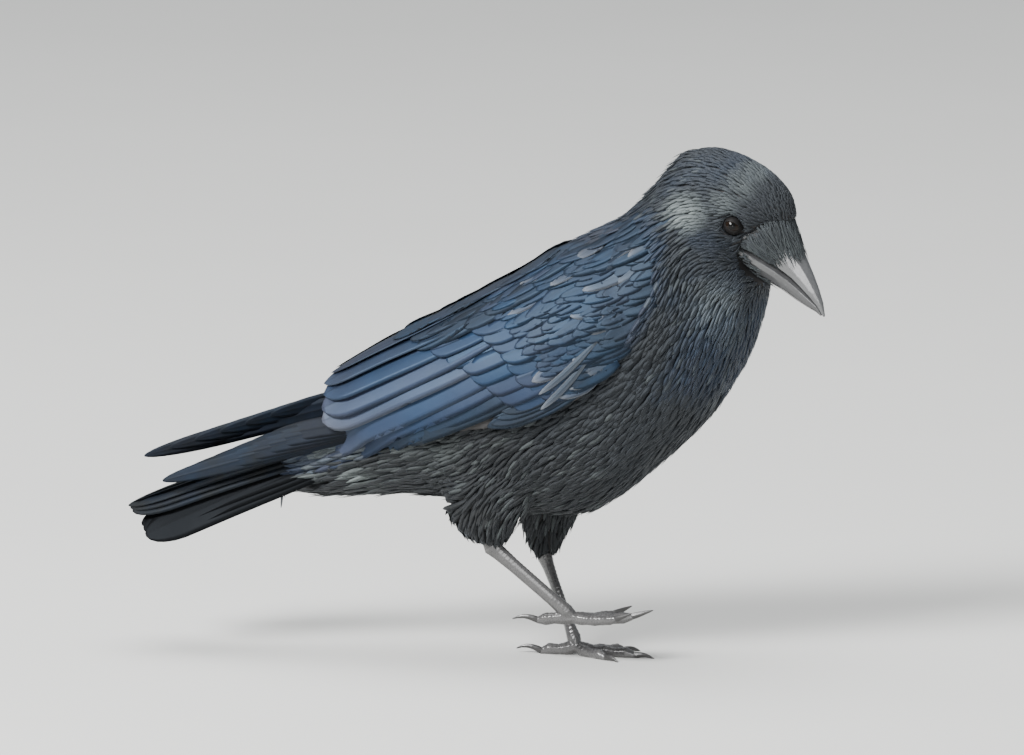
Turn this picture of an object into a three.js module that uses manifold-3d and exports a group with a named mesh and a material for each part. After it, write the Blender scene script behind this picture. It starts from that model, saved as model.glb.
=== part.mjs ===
// A carrion crow at life size, in mid-stride: the left foot stands, the right foot is lifted.
// Millimetres. +X is forward, +Y is the bird's left and +Z is up. The standing foot's soles lie at
// z = 0, and the whole bird is moved at the end so that the origin is under the middle of its box.

import * as THREE from 'three';
import { mergeVertices } from 'three/addons/utils/BufferGeometryUtils.js';
import Module from 'manifold-3d';

const wasm = await Module();
wasm.setup();

// ---------------------------------------------------------------- driving dimensions

const GAP = 0.3;                    // clearance between pieces that touch
const RIGHT = -1;                   // side of the body, as the sign of Y
const LEFT = 1;

const NECK_AXIS_X = 50;             // upright axis that the neck and head turn about
const HEAD_TURN = 14;               // degrees the head is turned to the right
const BODY_RING_SIDES = 20;
const BODY_RINGS = 2;               // rings between two sections of the body
const FINE_RINGS = 1;               // the same for pieces whose sections are closer together

const EYE_CENTRE = { x: 88.6, y: 17.2, z: 249.4 };
const EYE_RADIUS = 5.3;
const EYE_FACETS = { around: 12, down: 8 };

const WING_ARC_STEPS = 6;
const SECONDARY_REAR_X = -150;

const PRIMARY_COUNT = 5;            // primaries that show past the secondaries
const PRIMARY_HALF_WIDTH = 6;
const PRIMARY_TIP = 34;             // length of the tapered end
const PRIMARY_ROLL = 74;            // degrees the blades lean from flat
const PRIMARY_FAN = 10;             // rise of the innermost root over the outermost
const FEATHER_THICKNESS = 1.2;
const FEATHER_STEP = 1.0;           // how far apart overlapping feathers are stacked

const TAIL_PAIRS = 6;
const TAIL_HALF_WIDTH = 12.5;
const TAIL_END_LENGTH = 16;         // length of a tail feather's rounded end
const TAIL_ROOT = { x: -112, y: 2, z: 130 };
const TAIL_TIP = { x: -261, y: 3.5, z: 79.5 };
const TAIL_ROOT_SPREAD = 1.2;       // how much further out each next feather is rooted
const TAIL_TIP_SPREAD = 4;
const TAIL_TIP_LAG = 1.8;           // how much shorter each next feather is
const TAIL_DROOP = 0.275;           // how the tips step down towards the outermost feather
const TAIL_OUTER_DROP = 3;          // a further step down of the outer three feathers
const TAIL_ROLL = { central: 10, step: 8 };

const TARSUS_DEPTH = 3.7;           // half thicknesses, front to back and across
const TARSUS_BREADTH = 2.5;
const TARSUS_SIDES = 10;
const LIMB_SIDES = 8;
const CLAW_SIDES = 6;

const FINISHES = {
  plumage: { color: 0x1b1e26, roughness: 0.7 },
  coverts: { color: 0x1b1e26, roughness: 0.5 },
  gloss: { color: 0x232b40, roughness: 0.45 },
  bill: { color: 0x26272b, roughness: 0.35 },
  eye: { color: 0x120d0b, roughness: 0.1 },
  leg: { color: 0x2b2c30, roughness: 0.55 },
  claw: { color: 0x1a1a1c, roughness: 0.3 },
};

const degrees = THREE.MathUtils.degToRad;
const vec = (x, y, z) => new THREE.Vector3(x, y, z);

// ---------------------------------------------------------------- solids and the scene graph

// A closed three.js geometry as a manifold solid.
function solid(geometry) {
  geometry.deleteAttribute('normal');
  geometry.deleteAttribute('uv');
  const merged = mergeVertices(geometry, 1e-4);
  const mesh = new wasm.Mesh({
    numProp: 3,
    vertProperties: new Float32Array(merged.attributes.position.array),
    triVerts: new Uint32Array(merged.index.array),
  });
  return new wasm.Manifold(mesh);
}

const crow = new THREE.Group();

// The biggest piece of a cut body, without the slivers that a cut leaves beside it.
function biggest(body) {
  return body.decompose().reduce((kept, piece) => (piece.volume() > kept.volume() ? piece : kept));
}

// A manifold solid as a named mesh of the crow.
function addPart(name, body, finish) {
  const mesh = biggest(body).getMesh();
  const geometry = new THREE.BufferGeometry();
  geometry.setAttribute('position', new THREE.BufferAttribute(new Float32Array(mesh.vertProperties), 3));
  geometry.setIndex(new THREE.BufferAttribute(new Uint32Array(mesh.triVerts), 1));
  geometry.computeVertexNormals();
  const material = new THREE.MeshStandardMaterial({ ...finish, metalness: 0 });
  const part = new THREE.Mesh(geometry, material);
  part.name = name;
  crow.add(part);
}

function unite(bodies) {
  return bodies.reduce((whole, body) => whole.add(body));
}

// Six times the signed volume of an indexed mesh: negative if it is inside out.
function signedVolume(positions, index) {
  const corner = (i) => vec(positions[3 * i], positions[3 * i + 1], positions[3 * i + 2]);
  let sum = 0;
  for (let i = 0; i < index.length; i += 3) {
    sum += corner(index[i]).dot(corner(index[i + 1]).cross(corner(index[i + 2])));
  }
  return sum;
}

// A closed skin through rings of equal, even counts of points. Each end is closed by a ladder of
// faces between the first half of its ring and the second, which suits a tube and a shell alike.
function loft(rings) {
  const count = rings[0].length;
  const positions = rings.flat().flatMap((p) => [p.x, p.y, p.z]);
  const index = [];
  const quad = (a, b, c, d) => index.push(a, b, c, a, c, d);
  for (let r = 0; r + 1 < rings.length; r += 1) {
    for (let i = 0; i < count; i += 1) {
      const j = (i + 1) % count;
      quad(r * count + i, r * count + j, (r + 1) * count + j, (r + 1) * count + i);
    }
  }
  const last = (rings.length - 1) * count;
  for (let i = 0; i + 1 < count / 2; i += 1) {
    const far = count - 1 - i;
    quad(i, far, far - 1, i + 1);
    quad(last + i, last + i + 1, last + far - 1, last + far);
  }
  if (signedVolume(positions, index) < 0) {
    index.reverse();
  }
  const geometry = new THREE.BufferGeometry();
  geometry.setAttribute('position', new THREE.Float32BufferAttribute(positions, 3));
  geometry.setIndex(index);
  return solid(geometry);
}

// ---------------------------------------------------------------- sections of the body

// One cross-section of the body: the ends of its chord in the side view, top and bottom as [x, z],
// its half width, the turn of the neck there, the place of its widest level down the chord, and
// more where a piece needs it.
function section(top, bottom, half, extra = {}) {
  return { top, bottom, half, turn: 0, belt: 0.5, from: 0, to: 0, thick: 0, ...extra };
}

// A smooth run through all sections: t goes from 0 to 1.
function throughSections(sections) {
  const curve = (pick) => new THREE.CatmullRomCurve3(
    sections.map((s) => vec(...pick(s))),
    false,
    'catmullrom',
  );
  const tops = curve((s) => [s.top[0], s.top[1], s.half]);
  const bottoms = curve((s) => [s.bottom[0], s.bottom[1], s.turn]);
  const shapes = curve((s) => [s.belt, s.thick, 0]);
  const reaches = curve((s) => [s.from, s.to, 0]);
  return (t) => {
    const top = tops.getPoint(t);
    const bottom = bottoms.getPoint(t);
    const shape = shapes.getPoint(t);
    const reach = reaches.getPoint(t);
    return {
      top: [top.x, top.y],
      bottom: [bottom.x, bottom.y],
      half: top.z,
      turn: bottom.z,
      belt: shape.x,
      thick: shape.y,
      from: reach.x,
      to: reach.y,
    };
  };
}

// A point turned about the neck's upright axis, towards the bird's right.
function turned(point, turn) {
  const angle = degrees(-turn);
  const x = point.x - NECK_AXIS_X;
  return vec(
    NECK_AXIS_X + x * Math.cos(angle) - point.y * Math.sin(angle),
    x * Math.sin(angle) + point.y * Math.cos(angle),
    point.z,
  );
}

// The point of a section at an angle from its top, on one side, grown outwards by some amount.
function sectionPoint(s, angle, side, grow) {
  const top = vec(s.top[0], 0, s.top[1]);
  const bottom = vec(s.bottom[0], 0, s.bottom[1]);
  const centre = top.clone().lerp(bottom, s.belt);
  const cosine = Math.cos(angle);
  const end = cosine > 0 ? top : bottom;
  const reach = end.distanceTo(centre) + grow;
  const point = centre.clone().addScaledVector(
    end.clone().sub(centre).normalize(),
    Math.abs(cosine) * reach,
  );
  point.y = side * Math.sin(angle) * (s.half + grow);
  return turned(point, s.turn);
}

// A whole loft through sections, grown by some amount and moved along Y.
function bodyLoft(sections, { sides = BODY_RING_SIDES, perSection = BODY_RINGS, grow = 0, y = 0 } = {}) {
  const at = throughSections(sections);
  const steps = (sections.length - 1) * perSection;
  const rings = [];
  for (let r = 0; r <= steps; r += 1) {
    const s = at(r / steps);
    const ring = [];
    for (let i = 0; i < sides; i += 1) {
      const point = sectionPoint(s, (2 * Math.PI * (i + 0.5)) / sides, RIGHT, grow);
      point.y += y;
      ring.push(point);
    }
    rings.push(ring);
  }
  return loft(rings);
}

const BODY = {
  tailRoot: section([-176, 110], [-174, 91], 15),
  rumpEnd: section([-158, 124], [-153, 88], 21),
  rump: section([-139, 141], [-130, 88], 27),
  vent: section([-116, 158], [-102, 90], 32, { belt: 0.54 }),
  loin: section([-90, 176], [-76, 87], 38.5, { belt: 0.56 }),
  flank: section([-65, 194], [-48, 83], 44, { belt: 0.57 }),
  midBack: section([-40, 213], [-20, 80], 48, { belt: 0.56 }),
  mantle: section([-14, 233], [6, 83], 50, { belt: 0.53 }),
  shoulder: section([6, 244], [34, 104], 52),
  breast: section([17, 250], [59, 127], 51.5),
  upperBreast: section([24, 255], [79, 151], 47.5),
  neckBase: section([31, 262], [93, 179], 42, { turn: 3 }),
  neck: section([41, 274], [101, 205], 33, { turn: 6 }),
  nape: section([47.5, 281.5], [102, 208.5], 27.5, { turn: 8.5 }),
  occiput: section([54, 288], [103, 212], 24.5, { turn: 11 }),
  hindCrown: section([72, 290], [104, 215], 21.3, { turn: HEAD_TURN }),
  crown: section([89.5, 285.8], [105, 215], 18.8, { turn: HEAD_TURN }),
  forehead: section([106, 277], [105, 216], 15.5, { turn: HEAD_TURN }),
  brow: section([116.6, 265], [106, 216], 12.8, { turn: HEAD_TURN }),
  billBase: section([119.6, 248], [107, 217], 10.2, { turn: HEAD_TURN }),
};

const bodySections = Object.values(BODY);
const wholeBody = bodyLoft(bodySections);
const grownBody = bodyLoft(bodySections, { grow: GAP });

// ---------------------------------------------------------------- cutting planes

const HUGE = 800;

// Everything ahead of the plane of a section, kept back from it by half the gap.
function aheadOf(s) {
  const top = turned(vec(s.top[0], 0, s.top[1]), s.turn);
  const bottom = turned(vec(s.bottom[0], 0, s.bottom[1]), s.turn);
  const across = turned(vec(NECK_AXIS_X, 1, 0), s.turn).sub(vec(NECK_AXIS_X, 0, 0));
  const up = top.clone().sub(bottom).normalize();
  const ahead = across.clone().cross(up).normalize();
  const box = new THREE.BoxGeometry(HUGE, HUGE, HUGE);
  const place = new THREE.Matrix4().makeBasis(ahead, across, up);
  place.setPosition(top.clone().addScaledVector(ahead, HUGE / 2 + GAP / 2));
  return solid(box.applyMatrix4(place));
}

// The same plane, with everything ahead of it and the gap behind it.
function aheadAndGap(s) {
  const behind = { ...s, top: [...s.top], bottom: [...s.bottom] };
  const chord = [s.top[0] - s.bottom[0], s.top[1] - s.bottom[1]];
  const length = Math.hypot(...chord);
  const back = [(-chord[1] / length) * GAP, (chord[0] / length) * GAP];
  behind.top = [s.top[0] + back[0], s.top[1] + back[1]];
  behind.bottom = [s.bottom[0] + back[0], s.bottom[1] + back[1]];
  return aheadOf(behind);
}

// The part of a body between two sections, with half a gap at each.
function between(body, rear, front) {
  let piece = body;
  if (rear) {
    piece = piece.intersect(aheadOf(rear));
  }
  if (front) {
    piece = piece.subtract(aheadAndGap(front));
  }
  return piece;
}

// ---------------------------------------------------------------- bill

// The bill's two halves are lofts of their own. Their sections run from inside the head to the tip:
// top and bottom of each, as [x, z], and the half width.
const UPPER_BILL = [
  section([105, 258], [86, 239], 14, { belt: 0.92, turn: HEAD_TURN }),
  section([114, 251.5], [96.6, 234.3], 12, { belt: 0.92, turn: HEAD_TURN }),
  section([119.6, 243], [105.2, 228.9], 10, { belt: 0.92, turn: HEAD_TURN }),
  section([123.3, 235.6], [111.5, 224.8], 8.3, { belt: 0.92, turn: HEAD_TURN }),
  section([127, 227.5], [118.4, 219.8], 6.7, { belt: 0.91, turn: HEAD_TURN }),
  section([130.3, 220.4], [123.2, 215.1], 5.3, { belt: 0.9, turn: HEAD_TURN }),
  section([133.2, 213.2], [128.1, 209.7], 3.8, { belt: 0.86, turn: HEAD_TURN }),
  section([135.6, 206], [132.2, 204.4], 2.2, { belt: 0.75, turn: HEAD_TURN }),
  section([136.8, 198.6], [136, 198.2], 0.6, { turn: HEAD_TURN }),
];
const LOWER_BILL = [
  section([88, 238.2], [90.5, 226.5], 12, { belt: 0.25, turn: HEAD_TURN }),
  section([103.6, 229.6], [98.5, 219.5], 10.1, { belt: 0.25, turn: HEAD_TURN }),
  section([110.1, 225.2], [105.6, 215.8], 8.2, { belt: 0.25, turn: HEAD_TURN }),
  section([117.1, 220.3], [113.2, 211.3], 6.3, { belt: 0.28, turn: HEAD_TURN }),
  section([123.2, 214.7], [120.2, 206.8], 4.6, { belt: 0.3, turn: HEAD_TURN }),
  section([128.4, 209.3], [126.4, 203.4], 3, { belt: 0.35, turn: HEAD_TURN }),
  section([132.6, 204.6], [131.6, 200.8], 1.6, { belt: 0.4, turn: HEAD_TURN }),
  section([134.9, 199.6], [134.6, 198.5], 0.6, { turn: HEAD_TURN }),
];
const BILL_RINGS = { sides: 12, perSection: FINE_RINGS };

const upperBill = bodyLoft(UPPER_BILL, BILL_RINGS);
const grownUpperBill = bodyLoft(UPPER_BILL, { ...BILL_RINGS, grow: GAP });
const lowerBill = bodyLoft(LOWER_BILL, BILL_RINGS).subtract(grownUpperBill);
const grownBill = grownUpperBill.add(bodyLoft(LOWER_BILL, { ...BILL_RINGS, grow: GAP }));

function addBill() {
  addPart('upper_mandible', upperBill, FINISHES.bill);
  addPart('lower_mandible', lowerBill, FINISHES.bill);
}

// ---------------------------------------------------------------- face

// The feathers end at the bill along a line that runs from the corner of the mouth up to the forehead,
// and under the lower bill to the chin. What lies ahead of it, as [x, z], is left to the bill.
const BARE_BILL = [
  [90, 235], [106, 249], [118, 251], [140, 251], [128, 200], [107, 214.5], [98.5, 218], [91.5, 226],
];
// The face narrows from the cheeks to that line. Each of its two flat sides is given by three points.
const LORE = [[90, 15.5, 235], [107, 12, 252], [78, 24, 238]];
const JAW = [[90, 13, 235], [90, 23.5, 225.8], [80, 16.3, 235]];

// A geometry built on a head that looks straight ahead, as a solid on the turned head.
function headSolid(geometry) {
  const turn = new THREE.Matrix4()
    .makeTranslation(NECK_AXIS_X, 0, 0)
    .multiply(new THREE.Matrix4().makeRotationZ(degrees(-HEAD_TURN)))
    .multiply(new THREE.Matrix4().makeTranslation(-NECK_AXIS_X, 0, 0));
  return solid(geometry.applyMatrix4(turn));
}

// Everything outside a plane through three points of one side of the head.
function outsideOf(points, side) {
  const [a, b, c] = points.map(([x, y, z]) => vec(x, side * y, z));
  const outward = b.clone().sub(a).cross(c.clone().sub(a)).normalize();
  outward.multiplyScalar(Math.sign(outward.y) * side);
  const place = new THREE.Matrix4().compose(
    a.clone().addScaledVector(outward, HUGE / 2),
    new THREE.Quaternion().setFromUnitVectors(vec(0, 0, 1), outward),
    vec(1, 1, 1),
  );
  return headSolid(new THREE.BoxGeometry(HUGE, HUGE, HUGE).applyMatrix4(place));
}

function bareBill() {
  const outline = new THREE.Shape(BARE_BILL.map(([x, z]) => new THREE.Vector2(x, z)));
  const block = new THREE.ExtrudeGeometry(outline, { depth: HUGE, bevelEnabled: false });
  return headSolid(block.rotateX(Math.PI / 2).translate(0, HUGE / 2, 0));
}

function shapedFace(head) {
  return head
    .subtract(outsideOf(LORE, RIGHT).intersect(outsideOf(JAW, RIGHT)))
    .subtract(outsideOf(LORE, LEFT).intersect(outsideOf(JAW, LEFT)))
    .subtract(bareBill());
}

// ---------------------------------------------------------------- eyes

function eyeball(side, radius) {
  const centre = turned(vec(EYE_CENTRE.x, side * EYE_CENTRE.y, EYE_CENTRE.z), HEAD_TURN);
  const ball = new THREE.SphereGeometry(radius, EYE_FACETS.around, EYE_FACETS.down);
  return solid(ball.translate(centre.x, centre.y, centre.z));
}

function addEyes() {
  addPart('right_eye', eyeball(RIGHT, EYE_RADIUS), FINISHES.eye);
  addPart('left_eye', eyeball(LEFT, EYE_RADIUS), FINISHES.eye);
}

// ---------------------------------------------------------------- feathers as thin blades

// How a feather's outline swells from its narrow root to its full width, as shares of its length and
// half width, and where the curves of its root and tip pull towards.
const VANE = { fullFrom: 0.45, rootHalf: 0.35, rootPull: 0.6, tipPull: 0.1, tipPullHalf: 0.9 };

// The outline of one feather, along +X from its root, as a closed shape.
function featherOutline(length, half, tipLength) {
  const outline = new THREE.Shape();
  const fullAt = length * VANE.fullFrom;
  const rootPullAt = fullAt * VANE.rootPull;
  const rootHalf = half * VANE.rootHalf;
  const tipPullAt = length - tipLength * VANE.tipPull;
  const tipPullHalf = half * VANE.tipPullHalf;
  outline.moveTo(0, -rootHalf);
  outline.quadraticCurveTo(rootPullAt, -half, fullAt, -half);
  outline.lineTo(length - tipLength, -half);
  outline.quadraticCurveTo(tipPullAt, -tipPullHalf, length, 0);
  outline.quadraticCurveTo(tipPullAt, tipPullHalf, length - tipLength, half);
  outline.lineTo(fullAt, half);
  outline.quadraticCurveTo(rootPullAt, half, 0, rootHalf);
  outline.closePath();
  return outline;
}

// A feather blade from root to tip. The roll leans its outer edge down.
function featherBlade(root, tip, half, tipLength, rollDegrees, side) {
  const along = tip.clone().sub(root);
  const length = along.length();
  along.normalize();
  const roll = degrees(rollDegrees);
  const across = vec(0, side * Math.cos(roll), -Math.sin(roll));
  across.addScaledVector(along, -across.dot(along)).normalize();
  const up = along.clone().cross(across);
  const blade = new THREE.ExtrudeGeometry(featherOutline(length, half, tipLength), {
    depth: FEATHER_THICKNESS,
    steps: 1,
    bevelEnabled: false,
    curveSegments: 2,
  });
  const place = new THREE.Matrix4().makeBasis(along, across, up);
  place.setPosition(root);
  return solid(blade.applyMatrix4(place));
}

// ---------------------------------------------------------------- tail

// The folded tail is a low roof. Feather 0 is the central one, and the others step out and down.
function tailFeather(pair, side) {
  const outerDrop = pair >= TAIL_PAIRS / 2 ? TAIL_OUTER_DROP : 0;
  const root = vec(
    TAIL_ROOT.x,
    side * (TAIL_ROOT.y + TAIL_ROOT_SPREAD * pair),
    TAIL_ROOT.z - FEATHER_STEP * pair,
  );
  const tip = vec(
    TAIL_TIP.x + TAIL_TIP_LAG * pair,
    side * (TAIL_TIP.y + TAIL_TIP_SPREAD * pair),
    TAIL_TIP.z - TAIL_DROOP * pair * (pair + 1) - outerDrop,
  );
  const roll = TAIL_ROLL.central + TAIL_ROLL.step * pair;
  return featherBlade(root, tip, TAIL_HALF_WIDTH, TAIL_END_LENGTH, roll, side);
}

const sideHalf = {
  [RIGHT]: solid(new THREE.BoxGeometry(HUGE, HUGE, HUGE).translate(0, -HUGE / 2 - GAP / 2, 0)),
  [LEFT]: solid(new THREE.BoxGeometry(HUGE, HUGE, HUGE).translate(0, HUGE / 2 + GAP / 2, 0)),
};

function tailHalf(side) {
  const blades = [];
  for (let pair = 0; pair < TAIL_PAIRS; pair += 1) {
    blades.push(tailFeather(pair, side));
  }
  return unite(blades).intersect(sideHalf[side]);
}

const tail = {
  [RIGHT]: tailHalf(RIGHT).subtract(grownBody),
  [LEFT]: tailHalf(LEFT).subtract(grownBody),
};

function addTail() {
  addPart('tail_right', tail[RIGHT], FINISHES.gloss);
  addPart('tail_left', tail[LEFT], FINISHES.gloss);
}

// ---------------------------------------------------------------- wings

// The folded wing is a shell over the trunk. Each section is a carrier ring, and the shell takes
// its arc between two angles from the top of the back.
const WING = [
  section([23, 243], [42, 116], 49.5, { from: 42, to: 80, thick: 6 }),
  section([10, 245], [37, 104], 54.5, { from: 27, to: 91, thick: 8 }),
  section([-13, 237], [10, 85], 56.5, { from: 13, to: 96, thick: 9 }),
  section([-39, 221], [-16, 81], 56, { from: 5, to: 97, thick: 10 }),
  section([-65, 206], [-45, 83], 53, { from: 2, to: 99, thick: 10 }),
  section([-91, 192], [-73, 89], 47.5, { from: 1.2, to: 101, thick: 10 }),
  section([-114, 180.5], [-99, 95], 42.5, { from: 1.2, to: 101, thick: 10 }),
  section([-135, 168], [-124, 100], 38, { from: 1.2, to: 98, thick: 8 }),
  section([-155, 155], [-146, 104], 34, { from: 1.2, to: 96, thick: 6 }),
];

function wingShell(side) {
  const at = throughSections(WING);
  const rings = [];
  for (let r = 0; r < WING.length; r += 1) {
    const s = at(r / (WING.length - 1));
    const outer = [];
    const inner = [];
    for (let i = 0; i <= WING_ARC_STEPS; i += 1) {
      const angle = degrees(THREE.MathUtils.lerp(s.from, s.to, i / WING_ARC_STEPS));
      outer.push(sectionPoint(s, angle, side, 0));
      inner.push(sectionPoint(s, angle, side, -s.thick));
    }
    rings.push([...outer, ...inner.reverse()]);
  }
  return loft(rings);
}

// A side-view outline, [x, z] points, as a prism right through the bird.
function sidePrism(shape) {
  const prism = new THREE.ExtrudeGeometry(shape, {
    depth: HUGE / 2,
    steps: 1,
    bevelEnabled: false,
    curveSegments: 3,
  });
  prism.rotateX(Math.PI / 2);
  return solid(prism.translate(0, HUGE / 4, 0));
}

// An edge of round feather tips through the points, each tip reaching out to one side.
function featherTips(shape, points, reach) {
  for (let i = 0; i + 1 < points.length; i += 1) {
    const [x0, z0] = points[i];
    const [x1, z1] = points[i + 1];
    const length = Math.hypot(x1 - x0, z1 - z0);
    const out = [(-(z1 - z0) / length) * reach, ((x1 - x0) / length) * reach];
    shape.quadraticCurveTo((x0 + x1) / 2 + out[0], (z0 + z1) / 2 + out[1], x1, z1);
  }
}

// Everything in front of a line of feather tips that runs from the lower edge of the wing up.
function frontOfTips(points, reach, shift) {
  const moved = points.map(([x, z]) => [x - shift, z - shift]);
  const shape = new THREE.Shape();
  shape.moveTo(HUGE / 4, moved[0][1] - HUGE / 8);
  shape.lineTo(moved[0][0], moved[0][1] - HUGE / 8);
  shape.lineTo(...moved[0]);
  featherTips(shape, moved, reach);
  shape.lineTo(moved[moved.length - 1][0], HUGE / 2);
  shape.lineTo(HUGE / 4, HUGE / 2);
  shape.closePath();
  return sidePrism(shape);
}

const COVERT_TIPS = [
  [-30, 138], [-36, 150], [-44, 160], [-53, 169], [-63, 177], [-74, 184], [-86, 190], [-98, 200],
];
const SECONDARY_TIPS = [
  [SECONDARY_REAR_X + 6, 112], [SECONDARY_REAR_X, 124], [SECONDARY_REAR_X, 138],
  [SECONDARY_REAR_X, 151], [SECONDARY_REAR_X + 6, 164],
];
const TIP_REACH = 5;

// The primaries that show past the secondaries, as a stack of blades from the hidden wrist side
// to the wing's point. The far wing is held a little higher than the near one.
const WING_POINT = {
  [RIGHT]: vec(-239, -19, 96.5),
  [LEFT]: vec(-255, 15, 104.5),
};
const INNERMOST_TIP = {
  [RIGHT]: vec(-180, -22, 123),
  [LEFT]: vec(-184, 20, 128.5),
};
const PRIMARY_ROOT = { [RIGHT]: vec(-90, -34, 143), [LEFT]: vec(-90, 34, 151) };

function primaries(side) {
  const blades = [];
  for (let i = 0; i < PRIMARY_COUNT; i += 1) {
    const t = i / (PRIMARY_COUNT - 1);
    const tip = WING_POINT[side].clone().lerp(INNERMOST_TIP[side], t);
    tip.y += side * FEATHER_STEP * i;
    const root = PRIMARY_ROOT[side].clone().add(vec(0, side * FEATHER_STEP * i, PRIMARY_FAN * t));
    blades.push(featherBlade(root, tip, PRIMARY_HALF_WIDTH, PRIMARY_TIP, PRIMARY_ROLL, side));
  }
  return unite(blades);
}

function addWing(side, name) {
  const shell = wingShell(side).subtract(grownBody);
  const coverts = shell.intersect(frontOfTips(COVERT_TIPS, TIP_REACH, 0));
  const flight = shell
    .subtract(frontOfTips(COVERT_TIPS, TIP_REACH, GAP))
    .intersect(frontOfTips(SECONDARY_TIPS, TIP_REACH, 0));
  const point = primaries(side)
    .subtract(frontOfTips(SECONDARY_TIPS, TIP_REACH, GAP))
    .subtract(grownBody)
    .subtract(tail[side]);
  addPart(`${name}_wing_coverts`, coverts, FINISHES.coverts);
  addPart(`${name}_wing_secondaries`, flight, FINISHES.gloss);
  addPart(`${name}_wing_primaries`, point, FINISHES.gloss);
}

// ---------------------------------------------------------------- legs and feet

// A limb in one upright plane: from an origin, along a heading, through stations of distance
// along the heading, height, half width across and half height.
function limb(origin, headingDegrees, stations, { sides = LIMB_SIDES, grow = 0 } = {}) {
  const heading = degrees(headingDegrees);
  const ahead = vec(Math.cos(heading), Math.sin(heading), 0);
  const across = vec(-Math.sin(heading), Math.cos(heading), 0);
  const path = new THREE.CatmullRomCurve3(
    stations.map((s) => ahead.clone().multiplyScalar(s.along).setZ(s.height)),
    false,
    'catmullrom',
  );
  const rings = stations.map((s, k) => {
    const t = k / (stations.length - 1);
    const centre = path.getPoint(t).add(origin);
    const up = path.getTangent(t).cross(across).negate();
    const ring = [];
    for (let i = 0; i < sides; i += 1) {
      const angle = (2 * Math.PI * (i + 0.5)) / sides;
      ring.push(centre.clone()
        .addScaledVector(across, Math.sin(angle) * (s.halfWidth + grow))
        .addScaledVector(up, Math.cos(angle) * (s.halfHeight + grow)));
    }
    return ring;
  });
  return loft(rings);
}

// The feathered thighs: lofts down from inside the belly to the ankle, front edge and rear edge.
const THIGH = {
  [RIGHT]: [
    section([-14, 118], [-74, 118], 10),
    section([-26, 95], [-79, 97], 15),
    section([-34, 82], [-78, 85], 13),
    section([-41, 72], [-72, 75], 9),
    section([-46.5, 66], [-59, 68], 4.8),
  ],
  [LEFT]: [
    section([6, 118], [-50, 118], 10),
    section([-3, 92], [-48, 92], 13),
    section([-9, 76], [-44, 74], 10),
    section([-15, 66], [-41.5, 64], 7.6),
    section([-21, 57], [-38, 56], 5.6),
    section([-25.5, 49.5], [-33.5, 48.5], 4),
  ],
};
const THIGH_Y = { [RIGHT]: -27, [LEFT]: 30 };
const THIGH_RINGS = { sides: 12, perSection: FINE_RINGS };

const ANKLE = { [RIGHT]: vec(-53.5, -26, 66.5), [LEFT]: vec(-30, 31, 50.5) };
const FOOT = { [RIGHT]: vec(-7, -23, 26), [LEFT]: vec(-8, 0.5, 6) };

// The bare shank, from the ankle to the ball of the foot, with a knob at each end. A profile row
// is the share of the way down, then how much broader and deeper than the shank it is there.
const SHANK_PROFILE = [
  { share: -0.04, broad: 0.7, deep: 0.6 },
  { share: 0.03, broad: 1.45, deep: 1.35 },
  { share: 0.12, broad: 1.15, deep: 1.15 },
  { share: 0.3, broad: 0.95, deep: 1 },
  { share: 0.75, broad: 0.95, deep: 0.95 },
  { share: 0.93, broad: 1.5, deep: 1.1 },
  { share: 1.04, broad: 0.9, deep: 0.7 },
];

function tarsus(side, grow = 0) {
  const run = FOOT[side].clone().sub(ANKLE[side]);
  const heading = THREE.MathUtils.radToDeg(Math.atan2(run.y, run.x));
  const stations = SHANK_PROFILE.map(({ share, broad, deep }) => ({
    along: Math.hypot(run.x, run.y) * share,
    height: run.z * share,
    halfWidth: TARSUS_BREADTH * broad,
    halfHeight: TARSUS_DEPTH * deep,
  }));
  return limb(ANKLE[side], heading, stations, { sides: TARSUS_SIDES, grow });
}

const TOES = {
  third: { length: 35, claw: 12, girth: 3.3, pads: 3 },
  second: { length: 25, claw: 10, girth: 3, pads: 2 },
  fourth: { length: 29, claw: 10, girth: 2.9, pads: 3 },
  hind: { length: 20, claw: 15, girth: 3.5, pads: 2 },
};
const HEADINGS = {
  [RIGHT]: { second: 17, third: -2, fourth: -21, hind: 178 },
  [LEFT]: { second: -38, third: -9, fourth: 24, hind: 178 },
};
const SOLE_SHARE = 0.78;            // height of a standing toe's middle, as a share of its half girth
const TOE_ROOT_DROP = 0.6;          // the toes leave the shank just below its middle
const TOE_FLATNESS = 0.92;          // half width of a toe over its half height
const TOE_TAPER = { root: 1.05, end: 0.82 };
const TOE_BLUNT_END = 0.62;
const PAD_SWELL = { middle: 1.03, sway: 0.09 };
const FOOT_STEP = 0.2;              // share of a standing toe over which it comes down to the floor
const LIFTED_HIND_BEND = { slope: -0.6, curl: -1.6 };
const LIFTED_FRONT_BEND = { slope: -3.4, curl: 5 };

// Half the thickness of a toe at a share of its length: a pad under each joint, and a blunt end.
function toeGirth(digit, share) {
  const toe = TOES[digit];
  const padSwell = PAD_SWELL.middle - PAD_SWELL.sway * Math.cos(2 * Math.PI * toe.pads * share);
  const taper = THREE.MathUtils.lerp(TOE_TAPER.root, TOE_TAPER.end, share);
  const bluntEnd = share === 1 ? TOE_BLUNT_END : 1;
  return toe.girth * padSwell * taper * bluntEnd;
}

// Height of a toe's middle line at a share of its length, above the ball of its foot.
function standingHeight(digit, share) {
  const rest = toeGirth(digit, share) * SOLE_SHARE - FOOT[LEFT].z;
  return share < FOOT_STEP ? THREE.MathUtils.lerp(-2 * TOE_ROOT_DROP, rest, share / FOOT_STEP) : rest;
}

function liftedHeight(digit, share) {
  const bend = digit === 'hind' ? LIFTED_HIND_BEND : LIFTED_FRONT_BEND;
  return bend.slope * share + bend.curl * share ** 2 - TOE_ROOT_DROP;
}

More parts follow.
